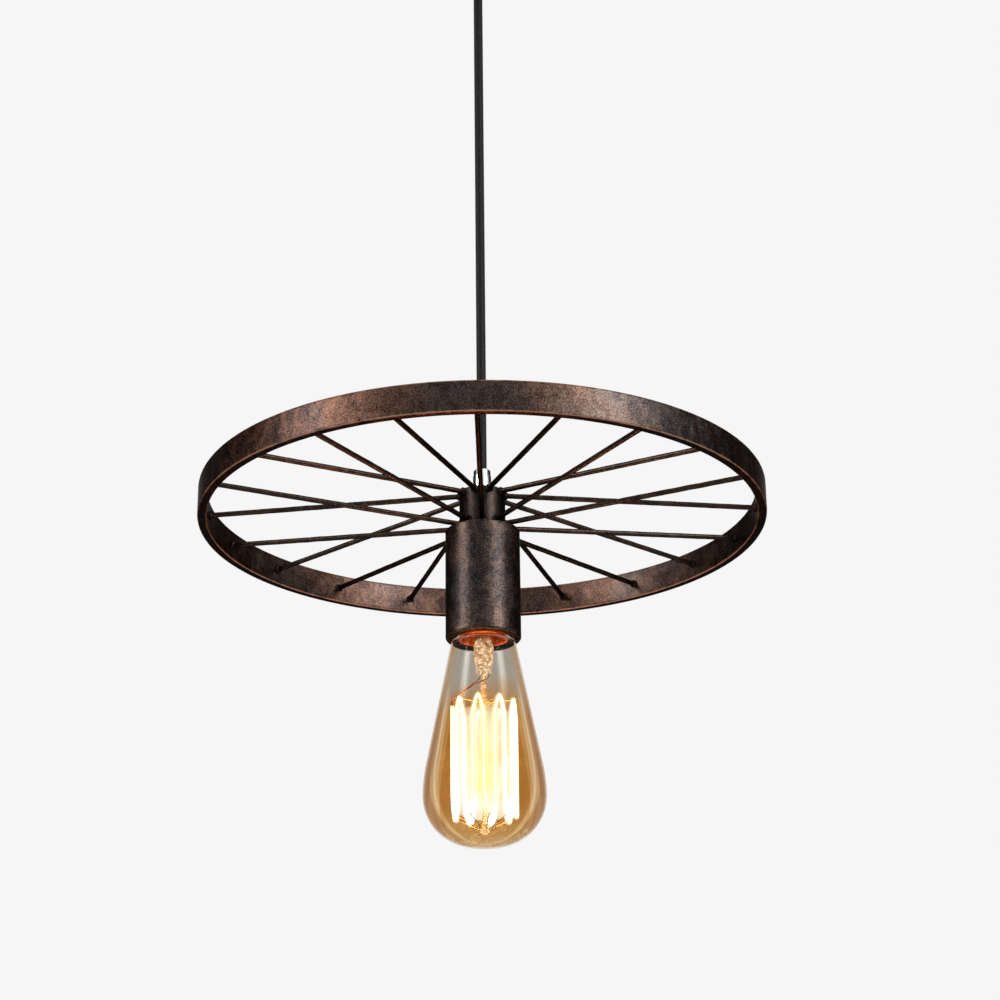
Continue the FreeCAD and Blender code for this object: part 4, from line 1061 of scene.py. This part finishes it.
def hot_wire():
    """The filament, with the light that stands round its strands and round the whole cage."""
    wire("hot_wire", [cage_path()], wire_radius, "filament_glow", "bulb", ["filament"])
    path = cage_path(veil_inset)
    for name, radius, share, strength, softness in (
        ("strand_glow", 0.0006, 0.9, 9.0, 0.8), ("strand_halo", 0.0018, 0.65, 4.5, 1.8),
    ):
        finish = wire_glow(name, share, strength, softness)
        out_of_the_light(wire(name, [path], radius, "filament_glow", "bulb", finish=finish))
    sides = [(cage_outer - inset, level, ease) for inset, level, ease in halo_corners]
    profile = [(0.0, sides[0][1], 0), *sides, (0.0, halo_top, 0)]
    bm = lathe(profile, 64, fineness=halo_fineness, closed=False)
    finish = wire_glow("cage_halo", 0.5, 4.2, 0.7)
    out_of_the_light(piece("cage_halo", bm, "filament_glow", "bulb", finish=finish))


def out_of_the_light(veil):
    """A veil neither throws shadows nor light on other pieces."""
    veil.visible_shadow = False
    veil.visible_diffuse = False
    veil.visible_glossy = False


def pressed_stem():
    """The stem: its flare, the pinched and crumpled press, the rod and the two buttons."""
    def button(level):
        return [
            (rod_radius, level - button_half, 0),
            (button_radius, level - button_half, button_ease),
            (button_radius, level + button_half, button_ease),
            (rod_radius, level + button_half, 0),
        ]
    bm = lathe([
        (0.0, stem_low.z, 0),
        (rod_radius, stem_low.z, rod_ease),
        *button(lower_button),
        *button(upper_button),
        (rod_radius, press_low - press_foot, press_foot_ease),
        (stem_tube, press_low, press_ease),
        (stem_tube, stem_high.z - stem_flare_height, stem_flare_height / 2),
        (stem_flare, stem_high.z, 0),
        (stem_flare - stem_wall, stem_high.z, 0),
        (stem_tube - stem_wall, stem_high.z - stem_flare_height, stem_flare_height / 2),
        (stem_tube - stem_wall, press_high - stem_wall, 0),
        (0.0, press_high - stem_wall, 0),
    ], 72, fineness=stem_fineness, closed=False)
    for vert in bm.verts:
        pinched = min(1.0, max(0.0, (vert.co.z - press_low + press_foot / 2) / press_foot))
        pinched *= min(1.0, max(0.0, (press_high + press_foot - vert.co.z) / press_fade))
        if not pinched:
            continue
        seat = vert.co * press_crumple_scale
        rough = noise.noise(seat) + 0.5 * noise.noise(seat * 2.3)
        crumple = 1.0 + pinched * press_crumple * rough
        narrowed = min(1.0, max(0.0, (press_high - vert.co.z) / press_height))
        crumple *= 1.0 - press_narrowing_share * pinched * narrowed
        vert.co.x *= crumple * (1.0 + pinched * (press_half_width / stem_tube - 1.0))
        vert.co.y *= crumple * (1.0 + pinched * (press_half_depth / stem_tube - 1.0))
        vert.co.x = max(-press_half_width, min(press_half_width, vert.co.x))
    piece("pressed_stem", bm, "stem_glass", "bulb", ["bulb_stem"], sharp=50.0)


def hooked_supports():
    """Two spiders of thin wire, whose legs end in hooks round the bends of the filament."""
    radius = (cage_outer - wire_radius) * math.cos(math.pi / strand_count)
    runs = []
    for i in range(strand_count - 1):
        way = (strand_way(i) + strand_way(i + 1)).normalized()
        upper = i % 2
        foot_level = upper_button if upper else lower_button
        bend_level = cage_high.z - wire_radius if upper else cage_low.z + wire_radius
        side = -1 if upper else 1
        centre = way * radius + Vector((0, 0, bend_level))
        foot = way * button_radius + Vector((0, 0, foot_level))
        run = [foot, foot.lerp(centre + Vector((0, 0, side * hook_radius)), 0.5)]
        for k in range(hook_points):
            angle = math.radians(side * (hook_start - hook_step * k))
            out = way * math.cos(angle) + Vector((0, 0, math.sin(angle)))
            run.append(centre + out * hook_radius)
        runs.append(run)
    wire(
        "hooked_supports", runs, support_radius, "support_wire", "bulb", ["filament_supports"],
        resolution=2,
    )


def lead_wires():
    """The two coppery wires from the press to the ends of the filament."""
    radius = cage_outer - wire_radius
    runs = []
    for (x, y), i in zip(lead_feet, (0, strand_count - 1)):
        foot = Vector((x, y, press_low))
        below = Vector((x, y, press_low - lead_drop))
        end = strand_way(i) * radius + Vector((0, 0, lead_low.z))
        middle = foot.lerp(end, 0.5) + lead_bow
        runs.append(soft_run([foot, below, middle, end + lead_approach, end]))
    wire("lead_wires", runs, lead_radius, "copper_lead", "bulb", ["filament_leads"])


# Cord

def hanging_cord():
    """The straight cord between its two pivots."""
    curve = round_curve("hanging_cord", cord_diameter / 2, 8)
    levels = (swing_pivot, swing_pivot - cord_end_run, tilt_pivot + cord_end_run, tilt_pivot)
    spline = curve.splines.new("NURBS")
    spline.points.add(len(levels) - 1)
    for point, level in zip(spline.points, levels):
        point.co = (0, 0, level, 1)
    spline.order_u = 3
    spline.use_endpoint_u = True
    spline.resolution_u = 8
    obj = mounted("hanging_cord", curve, "black_cord", "hanging_cord", ["cord"])


# Stage

def lit_ground():
    """A floor that camera, mirrors and glass see as the pale background, with its shadows kept."""
    f = Finish("pale_floor", {"Base Color": shade(246, 246, 246), "Roughness": 0.9})
    pale = shade(background_grey, background_grey, background_grey)
    glow = f.node("Emission", {"Color": pale, "Strength": 1.0}).outputs[0]
    plain = f.shader.outputs[0]
    blend = f.node("MixShader", {0: 1.0 - background_share, 1: glow, 2: plain}).outputs[0]
    path = f.node("LightPath").outputs
    mirrored = f.maths("MAXIMUM", path["Is Glossy Ray"], path["Is Transmission Ray"])
    seen = f.maths("MAXIMUM", path["Is Camera Ray"], mirrored)
    f.shown(f.node("MixShader", {0: seen, 1: plain, 2: blend}).outputs[0])
    return f.material


def floor():
    """The plain floor far below the lamp."""
    bm = bmesh.new()
    place = Matrix.Translation((0, 0, floor_level))
    bmesh.ops.create_circle(bm, cap_ends=True, segments=96, radius=floor_radius, matrix=place)
    mesh = bpy.data.meshes.new("floor")
    bm.to_mesh(mesh)
    bm.free()
    mesh.materials.append(lit_ground())
    put_in("floor", mesh)


def world():
    """Even studio light, and the pale background for the camera, mirrors and glass."""
    made = bpy.data.worlds.new("studio")
    made.use_nodes = True
    bpy.context.scene.world = made
    tree = made.node_tree
    tree.nodes.clear()
    grey = shade(background_grey, background_grey, background_grey)
    pale = add_node(tree, "Background", {"Color": grey})
    even = add_node(tree, "Background", {
        "Color": (1.0, 0.985, 0.96, 1.0), "Strength": even_strength,
    })
    path = add_node(tree, "LightPath").outputs
    seen = path["Is Camera Ray"]
    for ray in ("Is Glossy Ray", "Is Transmission Ray"):
        seen = add_node(tree, "Math", {0: seen, 1: path[ray]}, operation="MAXIMUM").outputs[0]
    mix = add_node(tree, "MixShader", {0: seen, 1: even.outputs[0], 2: pale.outputs[0]})
    add_node(tree, "OutputWorld", {"Surface": mix.outputs[0]})


def direction(azimuth, elevation):
    """The way from the wheel to a place, its azimuth counted from the photographer's side."""
    a, e = math.radians(azimuth), math.radians(elevation)
    return Vector((math.sin(a) * math.cos(e), -math.cos(a) * math.cos(e), math.sin(e)))


def lamp(name, kind, power, colour, **settings):
    """A light that neither the camera nor glass shows."""
    light = bpy.data.lights.new(name, kind)
    light.energy = power
    light.color = colour
    for key, value in settings.items():
        setattr(light, key, value)
    obj = put_in(name, light)
    obj.visible_camera = False
    obj.visible_transmission = False
    return obj


def softbox(name, azimuth, elevation, distance, width, height, power, colour=(1.0, 0.98, 0.95)):
    """A rectangular light that faces the wheel."""
    way = direction(azimuth, elevation)
    obj = lamp(name, "AREA", power, colour, shape="RECTANGLE", size=width, size_y=height)
    obj.location = Vector((0, 0, lamp_aim_level)) + way * distance
    obj.rotation_euler = way.to_track_quat("Z", "Y").to_euler()


def lamps():
    """Two tall keys, one at each side, and a soft top light."""
    softbox("key_left", -61.0, 21.0, 1.5, 0.35, 0.9, 18.5, (1.0, 0.96, 0.92))
    softbox("key_right", 48.0, 21.0, 1.5, 0.55, 0.9, 26.0)
    softbox("top", 0.0, 72.0, 1.8, 1.2, 1.2, 6.0)


def glow_lamp(name, level, power, radius):
    """A warm point of light on the bulb's axis."""
    obj = lamp(name, "POINT", power, (1.0, 0.55, 0.22), shadow_soft_size=radius)
    obj.location = (0, 0, level)
    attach(obj, "bulb")


def bulb_light():
    """The filament's warm light on the cup's mouth and the wheel, and in the neck."""
    glow_lamp("filament_light", (cage_low.z + cage_high.z) / 2, 1.6, 0.016)
    glow_lamp("neck_light", cap_low.z + 0.0005, 0.006, 0.003)


def photographers_camera():
    """The camera at the photograph's place, with the wheel's middle on its own pixel."""
    back = direction(view_azimuth, view_elevation)
    r = math.radians(view_roll)
    level_right = (-back).cross(Vector((0, 0, 1))).normalized()
    level_up = level_right.cross(-back)
    right = level_right * math.cos(r) + level_up * math.sin(r)
    up = level_up * math.cos(r) - level_right * math.sin(r)
    middle = picture_width_px / 2
    off_right = right * (middle - wheel_u_px) / focal_length_px
    off_up = up * (middle - wheel_v_px) / focal_length_px
    aim = (-back + off_right - off_up).normalized()
    side = aim.cross(up).normalized()
    turn = Matrix((side, side.cross(aim), -aim)).transposed()
    camera = bpy.data.cameras.new("camera")
    camera.sensor_width = sensor_width_mm
    camera.sensor_fit = "HORIZONTAL"
    camera.lens = focal_length_px * sensor_width_mm / picture_width_px
    camera.clip_start = 0.01
    camera.clip_end = 100.0
    obj = put_in("camera", camera)
    place = Vector((0, 0, wheel_level)) + back * view_distance
    obj.matrix_world = Matrix.Translation(place) @ turn.to_4x4()
    bpy.context.scene.camera = obj


def dress_nodes():
    """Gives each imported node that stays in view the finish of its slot."""
    for entry in frame["record"]["subparts"]:
        mesh = frame["nodes"][entry["node"]].data
        mesh.materials.clear()
        mesh.materials.append(finishes[entry["material_slot"]])


dress_nodes()
canopy_cover()
side_screws()
gland()
hanging_cord()
bright_grip()
iron_rim()
wheel_hub()
rods()
welds()
cup()
rolled_cap()
envelope()
pressed_stem()
hooked_supports()
lead_wires()
hot_wire()
floor()
world()
lamps()
bulb_light()
photographers_camera()
bpy.context.scene.view_settings.view_transform = "Standard"
bpy.context.scene.cycles.transparent_max_bounces = 64
